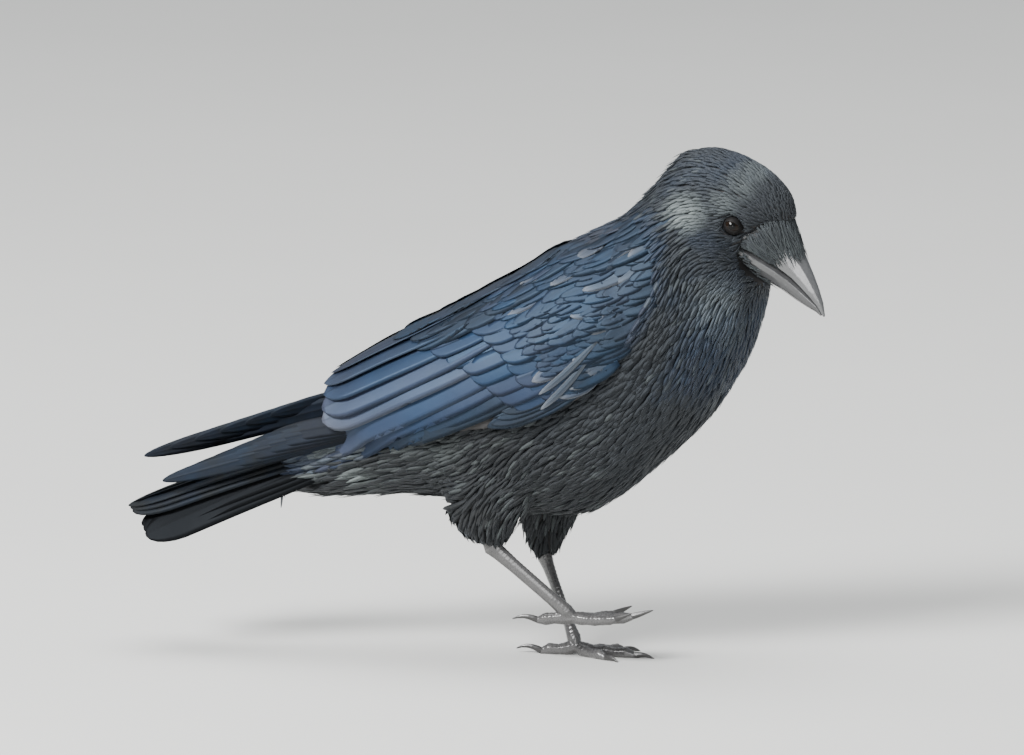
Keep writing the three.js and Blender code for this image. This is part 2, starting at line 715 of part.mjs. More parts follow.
// A toe from the ball of the foot up to the root of its claw.
function toeStations(digit, height) {
  const toe = TOES[digit];
  const stations = [];
  for (let i = 0; i <= 2 * toe.pads; i += 1) {
    const share = i / (2 * toe.pads);
    const halfHeight = toeGirth(digit, share);
    stations.push({
      along: toe.length * share,
      height: height(digit, share),
      halfWidth: TOE_FLATNESS * halfHeight,
      halfHeight,
    });
  }
  return stations;
}

// A hooked claw that leaves the end of its toe, arches up and bends down to its point.
const CLAW_RINGS = 5;
const CLAW_SINK = 1.2;              // how far a claw's root reaches into its toe
const CLAW_HALF = { width: 1.35, height: 1.9 };
const CLAW_TAPER = { loss: 0.88, power: 1.4 };
const CLAW_ARCH_SPAN = 0.8;         // share of half a wave that a claw's arch runs through
const CLAW_BEND = {
  [RIGHT]: { front: { arch: 1.2, rise: 3.2 }, hind: { arch: 2.4, rise: -1 } },
  [LEFT]: { front: { arch: 1.2, rise: -2.1 }, hind: { arch: 3, rise: -0.5 } },
};

function clawStations(digit, height, bend) {
  const toe = TOES[digit];
  const stations = [];
  for (let i = 0; i <= CLAW_RINGS; i += 1) {
    const share = i / CLAW_RINGS;
    const taper = 1 - CLAW_TAPER.loss * share ** CLAW_TAPER.power;
    const arch = bend.arch * Math.sin(Math.PI * share * CLAW_ARCH_SPAN);
    stations.push({
      along: toe.length - CLAW_SINK + toe.claw * share,
      height: height(digit, 1) + arch + bend.rise * share ** 2,
      halfWidth: CLAW_HALF.width * taper,
      halfHeight: CLAW_HALF.height * taper,
    });
  }
  return stations;
}

const floorBlock = solid(new THREE.BoxGeometry(HUGE, HUGE, HUGE).translate(0, 0, -HUGE / 2));

function addLeg(side, name) {
  const height = side === LEFT ? standingHeight : liftedHeight;
  const thigh = bodyLoft(THIGH[side], { ...THIGH_RINGS, y: THIGH_Y[side] });
  let taken = tarsus(side, GAP);
  addPart(`${name}_thigh`, thigh.subtract(grownBody).subtract(taken), FINISHES.plumage);
  addPart(`${name}_tarsus`, tarsus(side).subtract(floorBlock), FINISHES.leg);

  for (const digit of Object.keys(TOES)) {
    const heading = HEADINGS[side][digit];
    const bend = CLAW_BEND[side][digit === 'hind' ? 'hind' : 'front'];
    const hooked = clawStations(digit, height, bend);
    const jointed = toeStations(digit, height);
    const claw = limb(FOOT[side], heading, hooked, { sides: CLAW_SIDES }).subtract(floorBlock);
    const toe = limb(FOOT[side], heading, jointed)
      .subtract(taken)
      .subtract(limb(FOOT[side], heading, hooked, { sides: CLAW_SIDES, grow: GAP }))
      .subtract(floorBlock);
    taken = taken.add(limb(FOOT[side], heading, jointed, { grow: GAP }));
    addPart(`${name}_${digit}_toe`, toe, FINISHES.leg);
    addPart(`${name}_${digit}_claw`, claw, FINISHES.claw);
  }
}

// ---------------------------------------------------------------- flesh

function addFlesh() {
  const head = shapedFace(between(wholeBody, BODY.nape, null))
    .subtract(grownBill)
    .subtract(eyeball(RIGHT, EYE_RADIUS + GAP))
    .subtract(eyeball(LEFT, EYE_RADIUS + GAP));
  addPart('head', head, FINISHES.plumage);
  addPart('neck', between(wholeBody, BODY.upperBreast, BODY.nape), FINISHES.plumage);
  addPart('breast', between(wholeBody, BODY.mantle, BODY.upperBreast), FINISHES.plumage);
  addPart('belly', between(wholeBody, BODY.vent, BODY.mantle), FINISHES.plumage);
  addPart('rump', between(wholeBody, null, BODY.vent), FINISHES.plumage);
}

addFlesh();
addBill();
addEyes();
addTail();
addWing(RIGHT, 'right');
addWing(LEFT, 'left');
addLeg(RIGHT, 'right');
addLeg(LEFT, 'left');

// The origin goes under the middle of the box.
const box = new THREE.Box3().setFromObject(crow);
const middle = box.getCenter(vec(0, 0, 0));
crow.position.set(-middle.x, -middle.y, 0);

export default crow;
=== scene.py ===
# %% [markdown]
# # A carrion crow, standing
#
# The part's own solids hold the bird's size and pose. This lesson gives them their looks: one skin in
# place of the flesh, a coat of small feathers that lies along it, the long feathers of wings and tail,
# and the bare parts, which are the bill, the eyes, the legs and the claws.
#
# All lengths are in metres. Places on the bird are written in millimetres from a point on the floor
# that was chosen when the bird was drawn, and `at` turns them into the shared frame.

import math

import bpy
import numpy as np
from mathutils import Matrix, Vector
from mathutils.bvhtree import BVHTree
from mathutils.kdtree import KDTree


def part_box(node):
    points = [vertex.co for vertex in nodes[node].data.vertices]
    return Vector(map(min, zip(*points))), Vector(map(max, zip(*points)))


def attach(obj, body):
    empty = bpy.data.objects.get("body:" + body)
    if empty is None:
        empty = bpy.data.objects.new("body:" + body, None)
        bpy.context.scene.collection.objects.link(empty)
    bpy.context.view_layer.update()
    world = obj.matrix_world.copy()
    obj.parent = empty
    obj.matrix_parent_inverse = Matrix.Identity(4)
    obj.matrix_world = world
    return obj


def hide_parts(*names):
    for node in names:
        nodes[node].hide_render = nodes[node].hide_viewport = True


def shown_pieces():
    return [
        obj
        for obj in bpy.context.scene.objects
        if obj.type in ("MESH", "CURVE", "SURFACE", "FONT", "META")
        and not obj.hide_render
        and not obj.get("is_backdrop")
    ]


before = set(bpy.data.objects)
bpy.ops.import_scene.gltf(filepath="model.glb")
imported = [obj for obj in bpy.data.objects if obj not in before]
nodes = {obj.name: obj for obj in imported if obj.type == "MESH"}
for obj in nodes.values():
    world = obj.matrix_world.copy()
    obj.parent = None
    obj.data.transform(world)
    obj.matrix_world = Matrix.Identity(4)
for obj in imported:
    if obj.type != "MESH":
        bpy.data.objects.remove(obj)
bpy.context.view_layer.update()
bpy.ops.object.select_all(action="DESELECT")

# %% [markdown]
# ## Measures taken from the frame
#
# The eyes are the surest marks on a bird's head. The line through them gives the turn of the head, and
# the point between them ties the drawing's places to the frame, so nothing here is measured twice.

# %% Places on the bird
MM = 0.001
RIGHT, LEFT = -1, 1
SIDES = {"right": RIGHT, "left": LEFT}


def middle_of(node):
    """The middle of a solid's box."""
    low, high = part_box(node)
    return (low + high) / 2


eye_line = middle_of("left_eye") - middle_of("right_eye")
eye_middle = (middle_of("left_eye") + middle_of("right_eye")) / 2
HEAD_TURN = math.atan2(eye_line.x, eye_line.y)
NECK_AXIS = 50.0  # the upright axis that the head turns about
EYES_AHEAD = 38.6  # from that axis to the line through the eyes
START_X = eye_middle.x - (NECK_AXIS + EYES_AHEAD * math.cos(HEAD_TURN)) * MM


def at(x, y, z):
    """A place given in millimetres from the drawing's own start, in the frame."""
    return np.array([START_X + x * MM, y * MM, z * MM])


def turned(place, share=1.0):
    """A place drawn on a head that looks straight ahead, where the turned head has it."""
    x, y, z = place
    angle = -HEAD_TURN * share
    ahead = x - NECK_AXIS
    return (
        NECK_AXIS + ahead * math.cos(angle) - y * math.sin(angle),
        ahead * math.sin(angle) + y * math.cos(angle),
        z,
    )


def straightened(rows):
    """Places in the frame as the drawing has them on a head that looks straight ahead."""
    ahead = (rows[..., 0] - START_X) / MM - NECK_AXIS
    y = rows[..., 1] / MM
    cosine, sine = math.cos(HEAD_TURN), math.sin(HEAD_TURN)
    return np.stack([
        NECK_AXIS + ahead * cosine - y * sine,
        ahead * sine + y * cosine,
        rows[..., 2] / MM,
    ], axis=-1)


print(f"the head is turned {math.degrees(HEAD_TURN):.1f} degrees, drawing starts at x = {START_X:.5f}")

# %% [markdown]
# ## Small helpers for arrays of points
#
# A coat has thousands of feathers, so their points are worked out together, as rows of one array.
# These helpers make unit vectors, blend numbers, and ask a search tree for the nearest skin.

# %% Vector helpers
TINY = 1e-12  # keeps a division by a length of nothing harmless


def unit(rows):
    """Each row scaled to length one."""
    return rows / np.maximum(np.linalg.norm(rows, axis=-1, keepdims=True), TINY)


def along_surface(heading, normal):
    """The part of each heading that lies in the surface."""
    return unit(heading - normal * np.sum(heading * normal, axis=-1, keepdims=True))


def blend(a, b, share):
    """The value a share of the way from a to b."""
    return a + (b - a) * share


def points_of(obj, what="co"):
    """A piece's points as an array."""
    rows = np.empty(len(obj.data.vertices) * 3)
    obj.data.vertices.foreach_get(what, rows)
    return rows.reshape(-1, 3)


def normals_of(obj):
    """A piece's smooth normals, one to a point."""
    return points_of(obj, "normal")


def place_points(obj, rows):
    """Puts a piece's points where the array says."""
    obj.data.vertices.foreach_set("co", np.ascontiguousarray(rows, float).ravel())
    obj.data.update()


# %% [markdown]
# ## A form to work on
#
# The solids are cut apart and faceted. A copy of them is swollen a hair's breadth so that the cuts
# close, then rebuilt from small even cells and smoothed. That is how a sculptor would fuse clay
# parts before dressing the surface. The same steps serve the flesh, the wings, the bill and the feet.

# %% Fuse copies of the solids
CUT_CLOSING = 0.2 * MM
SAME_POINT = 0.001 * MM


def activate(obj):
    """Makes a piece the one that operators work on."""
    bpy.ops.object.select_all(action="DESELECT")
    obj.select_set(True)
    bpy.context.view_layer.objects.active = obj


def apply_modifiers(obj):
    """Applies all modifiers of a piece, first to last."""
    activate(obj)
    for modifier in list(obj.modifiers):
        bpy.ops.object.modifier_apply(modifier=modifier.name)


def fused(name, solids, cell, rounds):
    """One closed piece from copies of solids, with points about one cell apart."""
    bpy.ops.object.select_all(action="DESELECT")
    for solid in solids:
        twin = bpy.data.objects.new(name, nodes[solid].data.copy())
        twin.data.materials.clear()
        bpy.context.scene.collection.objects.link(twin)
        twin.select_set(True)
    bpy.context.view_layer.objects.active = twin
    if len(solids) > 1:
        bpy.ops.object.join()
    bpy.ops.object.mode_set(mode="EDIT")
    bpy.ops.mesh.select_all(action="SELECT")
    bpy.ops.mesh.remove_doubles(threshold=SAME_POINT)
    bpy.ops.transform.shrink_fatten(value=CUT_CLOSING)
    bpy.ops.object.mode_set(mode="OBJECT")
    rebuild(twin, cell, rounds)
    twin.name = name
    return twin

# %% Rebuild and smooth
def rebuild(obj, cell, rounds):
    """Rebuilds a piece from even cells and smooths it."""
    cells = obj.modifiers.new("cells", "REMESH")
    cells.mode = "VOXEL"
    cells.voxel_size = cell
    cells.use_smooth_shade = True
    apply_modifiers(obj)
    even_out(obj, rounds)


EASE_IN, EASE_OUT = 0.5, -0.52


def even_out(obj, rounds):
    """Smooths a piece without shrinking it: each round draws it in and lets it out again."""
    rows = points_of(obj)
    ends = np.empty(len(obj.data.edges) * 2, np.int32)
    obj.data.edges.foreach_get("vertices", ends)
    one = np.concatenate([ends[::2], ends[1::2]])
    other = np.concatenate([ends[1::2], ends[::2]])
    neighbours = np.bincount(one, minlength=len(rows))[:, None]
    for share in (EASE_IN, EASE_OUT) * rounds:
        sums = np.stack([np.bincount(one, rows[other, k], len(rows)) for k in range(3)], axis=1)
        rows = rows + (sums / neighbours - rows) * share
    place_points(obj, rows)

# %% A surface that feathers can ask
class Surface:
    """A piece as the feathers see it: its nearest point, and its smooth normal there."""

    def __init__(self, *objects):
        corners, faces, normals = [], [], []
        for obj in objects:
            start = len(corners)
            corners += [v.co.copy() for v in obj.data.vertices]
            normals += [v.normal.copy() for v in obj.data.vertices]
            faces += [[start + i for i in p.vertices] for p in obj.data.polygons]
        self.tree = BVHTree.FromPolygons(corners, faces)
        every = np.array([tuple(n) for n in normals])
        self.normals = unit(np.array([every[face].mean(axis=0) for face in faces]))

    def nearest(self, rows):
        """The nearest points on the surface and the normals there."""
        found = [self.tree.find_nearest(Vector(row)) for row in rows]
        places = np.array([tuple(f[0]) for f in found])
        return places, self.normals[[f[2] for f in found]]

    def from_outside(self, starts, headings):
        """Where rays from outside first meet the surface, and the normals. Misses are None."""
        return [self.tree.ray_cast(Vector(s), Vector(h)) for s, h in zip(starts, headings)]


# %% [markdown]
# ## The combing plan
#
# Feathers grow in zones. Each zone has its own spacing, length, width and looseness: tiny and close on
# the face, long and loose under the tail. The plan below gives those values, and then draws comb lines
# over the bird from bill to tail. A feather anywhere on the skin takes its heading and its size from
# the comb points around it, with the near ones counting most. Guide hairs are used the same way when
# fur is groomed.

# %% Zones of the coat
# spacing, length, half width, height of the tips over the skin, ruffle, gloss, head turn
ZONES = {
    "face": (1.15, 3.8, 0.74, 0.7, 0.08, 0.20, 1.0),
    "crown": (1.40, 7.5, 0.95, 1.1, 0.10, 0.42, 1.0),
    "cheek": (1.40, 8.0, 0.90, 1.2, 0.10, 0.40, 1.0),
    "nape": (1.95, 15.0, 1.05, 2.5, 0.55, 0.36, 0.7),
    "throat": (2.05, 14.0, 1.10, 2.3, 0.22, 0.60, 0.7),
    "neck": (2.20, 15.0, 1.35, 2.7, 0.18, 0.44, 0.3),
    "breast": (2.35, 16.0, 1.70, 3.3, 0.15, 0.28, 0.0),
    "belly": (2.40, 18.0, 1.60, 3.7, 0.24, 0.12, 0.0),
    "mantle": (3.40, 20.0, 3.00, 3.6, 0.12, 0.62, 0.0),
    "rump": (3.50, 22.0, 3.00, 3.8, 0.15, 0.60, 0.0),
    "vent": (2.80, 25.0, 1.70, 3.8, 0.30, 0.12, 0.0),
    "thigh": (2.20, 13.0, 1.10, 2.3, 0.55, 0.08, 0.0),
    "shank": (1.70, 7.0, 0.80, 0.9, 0.20, 0.08, 0.0),
}
# %% Comb lines
COMB_LINES = [
    # over the crown and along the back
    [("face", 121, 0, 247), ("face", 116, 0, 262), ("crown", 105, 0, 276), ("crown", 89, 0, 286),
     ("crown", 72, 0, 290), ("nape", 54, 0, 288), ("nape", 44, 0, 277), ("neck", 31, 0, 262),
     ("mantle", 10, 0, 246), ("mantle", -14, 0, 233), ("mantle", -40, 0, 213), ("rump", -65, 0, 194),
     ("rump", -90, 0, 176), ("rump", -116, 0, 158), ("rump", -150, 0, 131), ("rump", -176, 0, 110)],
    # past the eye and down the side of the neck
    [("face", 113, 11, 232), ("face", 104, 17, 238), ("cheek", 92, 21, 238), ("cheek", 76, 24, 240),
     ("nape", 63, 29, 236), ("neck", 57, 36, 221), ("breast", 47, 45, 200), ("breast", 25, 51, 178),
     ("breast", -5, 52, 158), ("belly", -40, 48, 138), ("belly", -80, 40, 126),
     ("vent", -115, 31, 118), ("vent", -150, 21, 106), ("vent", -172, 14, 100)],
    # from the corner of the bill down over the breast
    [("face", 106, 12, 220), ("cheek", 94, 19, 220), ("throat", 84, 27, 200), ("throat", 74, 35, 178),
     ("breast", 60, 40, 152), ("breast", 35, 42, 124), ("belly", 5, 40, 104), ("belly", -30, 37, 98),
     ("belly", -70, 32, 97), ("vent", -105, 25, 97), ("vent", -140, 18, 95), ("vent", -170, 12, 94)],
    # under the chin and along the belly
    [("face", 107, 0, 216), ("throat", 103, 0, 206), ("throat", 98, 0, 190), ("throat", 89, 0, 170),
     ("breast", 79, 0, 151), ("breast", 59, 0, 127), ("breast", 34, 0, 104), ("belly", 6, 0, 83),
     ("belly", -20, 0, 80), ("belly", -48, 0, 83), ("vent", -76, 0, 87), ("vent", -102, 0, 90),
     ("vent", -130, 0, 88), ("vent", -174, 0, 91)],
]
LEG_LINES = {
    RIGHT: [
        [("thigh", -38, 40, 112), ("thigh", -50, 38, 96), ("thigh", -56, 34, 82), ("shank", -54, 29, 68)],
        [("thigh", -46, 16, 104), ("thigh", -52, 18, 92), ("thigh", -56, 20, 80), ("shank", -53, 24, 67)],
    ],
    LEFT: [
        [("thigh", -18, 44, 110), ("thigh", -24, 42, 92), ("thigh", -29, 38, 72), ("shank", -30, 33, 53)],
        [("thigh", -20, 18, 100), ("thigh", -25, 20, 86), ("thigh", -29, 24, 68), ("shank", -30, 29, 52)],
    ],
}

# %% From lines to comb points
def comb_points(line, side):
    """The places, headings and zone values of one comb line, in the frame."""
    places = np.array([at(*turned((x, side * y, z), ZONES[zone][-1])) for zone, x, y, z in line])
    headings = unit(np.gradient(places, axis=0))
    values = np.array([ZONES[zone][:-1] for zone, *_ in line])
    return places, headings, values


combed = [comb_points(line, side) for line in COMB_LINES for side in (RIGHT, LEFT)]
combed += [comb_points(line, side) for side, lines in LEG_LINES.items() for line in lines]
comb_places, comb_headings, comb_values = (np.concatenate(part) for part in zip(*combed))
print(f"{len(comb_places)} comb points")

# %% Read the plan anywhere
COMB_REACH = 3 * MM
COMB_FALLOFF = 4
CHUNK = 20000  # points worked out at a time


def plan_at(rows):
    """Heading and zone values at each point, from the comb points around it."""
    headings, values = [], []
    for start in range(0, len(rows), CHUNK):
        part = rows[start : start + CHUNK]
        gap = np.linalg.norm(part[:, None] - comb_places[None], axis=2)
        weight = 1 / (gap + COMB_REACH) ** COMB_FALLOFF
        weight /= weight.sum(axis=1, keepdims=True)
        headings.append(weight @ comb_headings)
        values.append(weight @ comb_values)
    return np.concatenate(headings), np.concatenate(values)


SPACING, LENGTH, HALF_WIDTH, HEIGHT, RUFFLE, GLOSS = range(6)

# %% [markdown]
# ## The wing's form
#
# Each wing's two solids, the coverts and the secondaries, are fused into one form. The feathers are
# laid on it, and then it is sunk below them and stays as the dark layer under the wing's feathers.

# %% Fuse the wings
WING_CELL, WING_ROUNDS = 1.5 * MM, 14
AXIS_HEIGHT, AXIS_SLOPE, AXIS_X = 160.0, 0.4, -4.0  # the trunk's long axis in the side view


def axis_under(rows):
    """The points of the trunk's long axis below or above some places."""
    run = (rows[..., 0] - START_X) / MM - AXIS_X
    level = (AXIS_HEIGHT + run * AXIS_SLOPE) * MM
    return np.stack([rows[..., 0], np.zeros_like(level), level], axis=-1)


def angle_round(rows):
    """The angles of places round that axis, from the top of the back down either side, in degrees."""
    away = rows - axis_under(rows)
    return np.degrees(np.arctan2(np.abs(away[..., 1]), away[..., 2]))


wing_forms = {
    side: fused(side + "_wing_under", [side + "_wing_coverts", side + "_wing_secondaries"],
                WING_CELL, WING_ROUNDS)
    for side in SIDES
}
both_wings = Surface(*wing_forms.values())

# %% [markdown]
# ## The skin
#
# The flesh of head, neck, trunk and thighs becomes one skin without seams. The solids reach out to the
# tips of the coat, so the skin is sunk into them by the coat's height, which the combing plan knows.
# Sinking can fold a surface over itself in a crease, so the result is rebuilt from cells once more.

# %% Make the skin
FLESH = ["head", "neck", "breast", "belly", "rump", "right_thigh", "left_thigh"]
SKIN_CELL = 1.7 * MM
SKIN_ROUNDS, SUNK_ROUNDS = 25, 4  # of smoothing, before the skin is sunk and after
SKIN_SHARE = 0.95  # how much of the coat's height lies inside the solids
WING_SINK = 3.2  # mm from the wing's outside down to the layer under its feathers
FORM_WHOLE_FROM, FORM_SHORTENED = -112.0, 0.45  # that layer ends well ahead of the feathers' tips

skin = fused("skin", FLESH, SKIN_CELL, SKIN_ROUNDS)
outer_surface = {side: Surface(skin, wing_forms[side]) for side in SIDES}
for form in wing_forms.values():
    form_points = points_of(form)
    form_points = form_points - unit(form_points - axis_under(form_points)) * WING_SINK * MM
    behind = np.minimum(form_points[:, 0] - at(FORM_WHOLE_FROM, 0, 0)[0], 0)
    form_points[:, 0] -= behind * FORM_SHORTENED
    place_points(form, form_points)
_, values = plan_at(points_of(skin))
sunk = values[:, HEIGHT : HEIGHT + 1] * SKIN_SHARE * MM
place_points(skin, points_of(skin) - normals_of(skin) * sunk)
rebuild(skin, SKIN_CELL, SUNK_ROUNDS)
skin_surface = Surface(skin)
coat_surface = Surface(skin, *wing_forms.values())
print(f"the skin has {len(skin.data.polygons)} faces")

# %% [markdown]
# ## An unwrap of the skin
#
# When the finished model is baked, each feather takes a small patch of picture at its root's place on
# the skin's unwrap. The unwrap is made from the skin's own shape, so patches of neighbours stay apart.

# %% Unwrap the skin
BAKE_MAP = "OFBake"
SEAM_ANGLE, ISLAND_GAP = math.radians(66), 0.002
activate(skin)
skin.data.uv_layers.new(name=BAKE_MAP)
bpy.ops.object.mode_set(mode="EDIT")
bpy.ops.mesh.select_all(action="SELECT")
bpy.ops.uv.smart_project(angle_limit=SEAM_ANGLE, island_margin=ISLAND_GAP)
bpy.ops.object.mode_set(mode="OBJECT")


def skin_map_places(rows):
    """Where points on the skin lie on its unwrap: the middle of the nearest face there."""
    layer = skin.data.uv_layers[BAKE_MAP].data
    polygons = skin.data.polygons
    spots = []
    for row in rows:
        face = polygons[skin_surface.tree.find_nearest(Vector(row))[2]]
        spots.append(np.mean([tuple(layer[i].uv) for i in face.loop_indices], axis=0))
    return np.array(spots)


# %% [markdown]
# ## A vane from rings
#
# A feather is a thin vane on a shaft. Its cross-section is a flat lens with a slight ridge where the
# shaft runs, and the section is repeated along the spine: narrow at the root, full in the middle and
# rounded at the tip. Small feathers get a section of few points, long ones a finer section with a
# raised shaft. One function builds any number of vanes as a single mesh, straight from arrays.

# %% Sections and outlines
# each point of a section: its place across, from -1 to 1, and its level in thicknesses
PLUSH_SECTION = [(-1, 0), (0, 1), (1, 0), (0, -0.6)]
CONTOUR_SECTION = [(-1, 0), (-0.5, 0.8), (0, 1.2), (0.5, 0.8), (1, 0), (0, -0.6)]
FLIGHT_SECTION = [
    (-1, 0), (-0.7, 0.8), (-0.3, 1), (-0.07, 1.1), (0, 2.4), (0.07, 1.1), (0.3, 1), (0.7, 0.8),
    (1, 0), (0.5, -0.7), (0.07, -0.8), (0, -1.8), (-0.07, -0.8), (-0.5, -0.7),
]
FULL_WIDTH_AT = 0.45  # the share of a vane's length at which it is as wide as it gets
ALMOST_CLOSED = 0.995  # how far the rounding of a tip goes on, so that its last ring keeps some width


def rounded_outline(stations, root, tip_share):
    """Half widths along a vane as a share of the full one: a narrow root, and a rounded tip."""
    rising = root + (1 - root) * np.sin(np.minimum(stations / FULL_WIDTH_AT, 1) * math.pi / 2)
    into_tip = np.clip((stations - (1 - tip_share)) / tip_share, 0, ALMOST_CLOSED)
    return rising * np.sqrt(1 - into_tip**2)


def closing_stations(count, bias):
    """Places along a vane from 0 to 1, closer together towards the tip."""
    return 1 - (1 - np.linspace(0, 1, count)) ** bias


# %% Rings to a mesh
def tubes(name, points):
    """A mesh of closed tubes from rings of points, (tubes, rings, sides, 3), and its face corners."""
    count, rings, sides = points.shape[:3]
    ring = np.arange(sides)
    after = (ring + 1) % sides
    low = (np.arange(rings - 1) * sides)[:, None]
    quads = np.stack([low + ring, low + sides + ring, low + sides + after, low + after], axis=-1)
    starts = (np.arange(count) * rings * sides)[:, None]
    quads = (quads.reshape(1, -1, 4) + starts[:, :, None]).reshape(-1, 4)
    root_caps = starts + ring[None]
    tip_caps = starts + (rings - 1) * sides + ring[None, ::-1]
    corners = np.concatenate([quads.ravel(), root_caps.ravel(), tip_caps.ravel()])
    face_starts = np.concatenate(
        [np.arange(len(quads)) * 4, len(quads) * 4 + np.arange(2 * count) * sides]
    )
    mesh = bpy.data.meshes.new(name)
    mesh.vertices.add(points.size // 3)
    mesh.vertices.foreach_set("co", points.ravel())
    mesh.loops.add(len(corners))
    mesh.loops.foreach_set("vertex_index", corners.astype(np.int32))
    mesh.polygons.add(len(face_starts))
    mesh.polygons.foreach_set("loop_start", face_starts.astype(np.int32))
    mesh.update(calc_edges=True)
    mesh.polygons.foreach_set("use_smooth", np.ones(len(face_starts), bool))
    obj = bpy.data.objects.new(name, mesh)
    bpy.context.scene.collection.objects.link(obj)
    return obj, corners


def paint_map(mesh, name, corners):
    """Writes a UV map, one pair to a face corner."""
    layer = mesh.uv_layers.new(name=name, do_init=False)
    layer.data.foreach_set("uv", np.ascontiguousarray(corners, float).ravel())


def paint_value(mesh, name, values):
    """Writes a number to every point, for the materials to read."""
    attribute = mesh.attributes.new(name, "FLOAT", "POINT")
    attribute.data.foreach_set("value", np.ascontiguousarray(values, np.float32).ravel())


# %% Build many vanes as one mesh
LEAST_BODY = 0.25  # the thinnest a vane gets, as a share of its thickness
PATCH = 0.003  # the size of a feather's patch on the unwrap


def vane_mesh(name, spine, normal, half, section, thickness, stations, shades, lean=0.0, camber=0.1,
              map_spots=None):
    """A mesh of closed vanes. spine and normal are (vanes, stations, 3), half is (vanes, stations)."""
    count, rings = spine.shape[:2]
    across = np.array([p[0] for p in section], float)
    level = np.array([p[1] for p in section], float)
    sides = len(section)
    heading = unit(np.gradient(spine, axis=1))
    sideways = unit(np.cross(normal, heading))
    up = unit(np.cross(heading, sideways))
    body = np.clip(half / half.max(axis=1, keepdims=True), LEAST_BODY, 1)
    lean = np.broadcast_to(np.asarray(lean, float), (count,))
    reach = across[None, None, :] * half[:, :, None]
    rise = (
        level[None, None, :] * thickness * body[:, :, None]
        - camber * half[:, :, None] * across[None, None, :] ** 2
        + lean[:, None, None] * across[None, None, :] * body[:, :, None]
    )
    points = spine[:, :, None] + sideways[:, :, None] * reach[..., None]
    obj, corners = tubes(name, points + up[:, :, None] * rise[..., None])
    mesh = obj.data

    steps = np.linalg.norm(np.diff(spine, axis=1), axis=2)
    run = np.concatenate([np.zeros((count, 1)), np.cumsum(steps, axis=1)], axis=1)
    shape = (count, rings, sides)
    barbs = np.stack([reach / MM, np.broadcast_to(run[:, :, None] / MM, shape)], axis=-1)
    paint_map(mesh, "vane", barbs.reshape(-1, 2)[corners])
    paint_value(mesh, "across", np.broadcast_to(across[None, None], shape))
    paint_value(mesh, "along", np.broadcast_to(stations[None, :, None], shape))
    for label, value in shades.items():
        paint_value(mesh, label, np.broadcast_to(np.asarray(value, float).reshape(-1, 1, 1), shape))
    if map_spots is not None:
        own = np.stack([
            np.broadcast_to(across[None, None] / 2, shape),
            np.broadcast_to(stations[None, :, None] - 0.5, shape),
        ], axis=-1)
        spots = map_spots[:, None, None, :] + own * PATCH
        paint_map(mesh, BAKE_MAP, spots.reshape(-1, 2)[corners])
    return obj


# %% [markdown]
# ## Sowing the roots
#
# Roots are sown at random, and then thinned: a root is kept only if no kept root is closer than the
# spacing of its zone. The result is as even as real skin, without the rows of a machine.

# %% Sow and thin
rng = np.random.default_rng(11)
SEEDS_TO_A_FEATHER = 7


def sow(obj):
    """Random points on a piece, denser where the plan's spacing is small, thinned to that spacing."""
    mesh = obj.data
    mesh.calc_loop_triangles()
    corners = np.empty(len(mesh.loop_triangles) * 3, np.int32)
    mesh.loop_triangles.foreach_get("vertices", corners)
    tri = points_of(obj)[corners.reshape(-1, 3)]
    _, values = plan_at(tri.mean(axis=1))
    spacing = values[:, SPACING] * MM
    area = np.linalg.norm(np.cross(tri[:, 1] - tri[:, 0], tri[:, 2] - tri[:, 0]), axis=1) / 2
    wanted = area / spacing**2
    total = int(wanted.sum() * SEEDS_TO_A_FEATHER)
    chosen = rng.choice(len(tri), total, p=wanted / wanted.sum())
    a, b = rng.random((2, total, 1))
    folded = a + b > 1
    a, b = np.where(folded, 1 - a, a), np.where(folded, 1 - b, b)
    seeds = tri[chosen, 0] * (1 - a - b) + tri[chosen, 1] * a + tri[chosen, 2] * b
    return seeds[thinned(seeds, spacing[chosen])]


def thinned(seeds, spacing):
    """Which seeds stay when each keeps its distance."""
    near = KDTree(len(seeds))
    for i, seed in enumerate(seeds):
        near.insert(seed, i)
    near.balance()
    free = np.ones(len(seeds), bool)
    kept = []
    for i, seed in enumerate(seeds):
        if free[i]:
            kept.append(i)
            for _, other, _ in near.find_range(seed, spacing[i]):
                free[other] = False
    return kept


roots = sow(skin)
print(f"{len(roots)} feathers sown")

# %% [markdown]
# ## Laying the feathers
#
# From its root each feather walks over the skin in small steps, always turning with the comb. Its
# height grows quickly at first and then levels out, so that tips lie flat over the roots behind them,
# as tiles do. Where the skin ends, as behind the rump, the feather simply runs on.

# %% Where the eyes open
EYE_RADIUS = (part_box("left_eye")[1].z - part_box("left_eye")[0].z) / 2
EYE_OPENING = (3.8 * MM, 2.15 * MM)  # half of its length and of its height
EYE_TILT = math.radians(-24)  # the front corner lies lower
BALL_COVER = 0.45 * MM  # how far feathers stay off the ball
EYE_DETOUR = 13 * MM
EYE_REGION = 3 * EYE_RADIUS
EYE_LOOKS = (0.26, 0.05)  # ahead and upwards, for one to the side


def eye_frame(side):
    """An eye's middle, and the headings along its opening, up across it, and the way it looks."""
    origin = at(*turned((0, 0, 0)))
    looks = unit(at(*turned((EYE_LOOKS[0], SIDES[side], EYE_LOOKS[1]))) - origin)
    ahead = unit(at(*turned((math.cos(EYE_TILT), 0, math.sin(EYE_TILT)))) - origin)
    ahead = unit(ahead - looks * (ahead @ looks))
    upwards = np.cross(looks, ahead) * -SIDES[side]
    return np.array(middle_of(side + "_eye")), ahead, upwards, looks


eye_frames = {side: eye_frame(side) for side in SIDES}


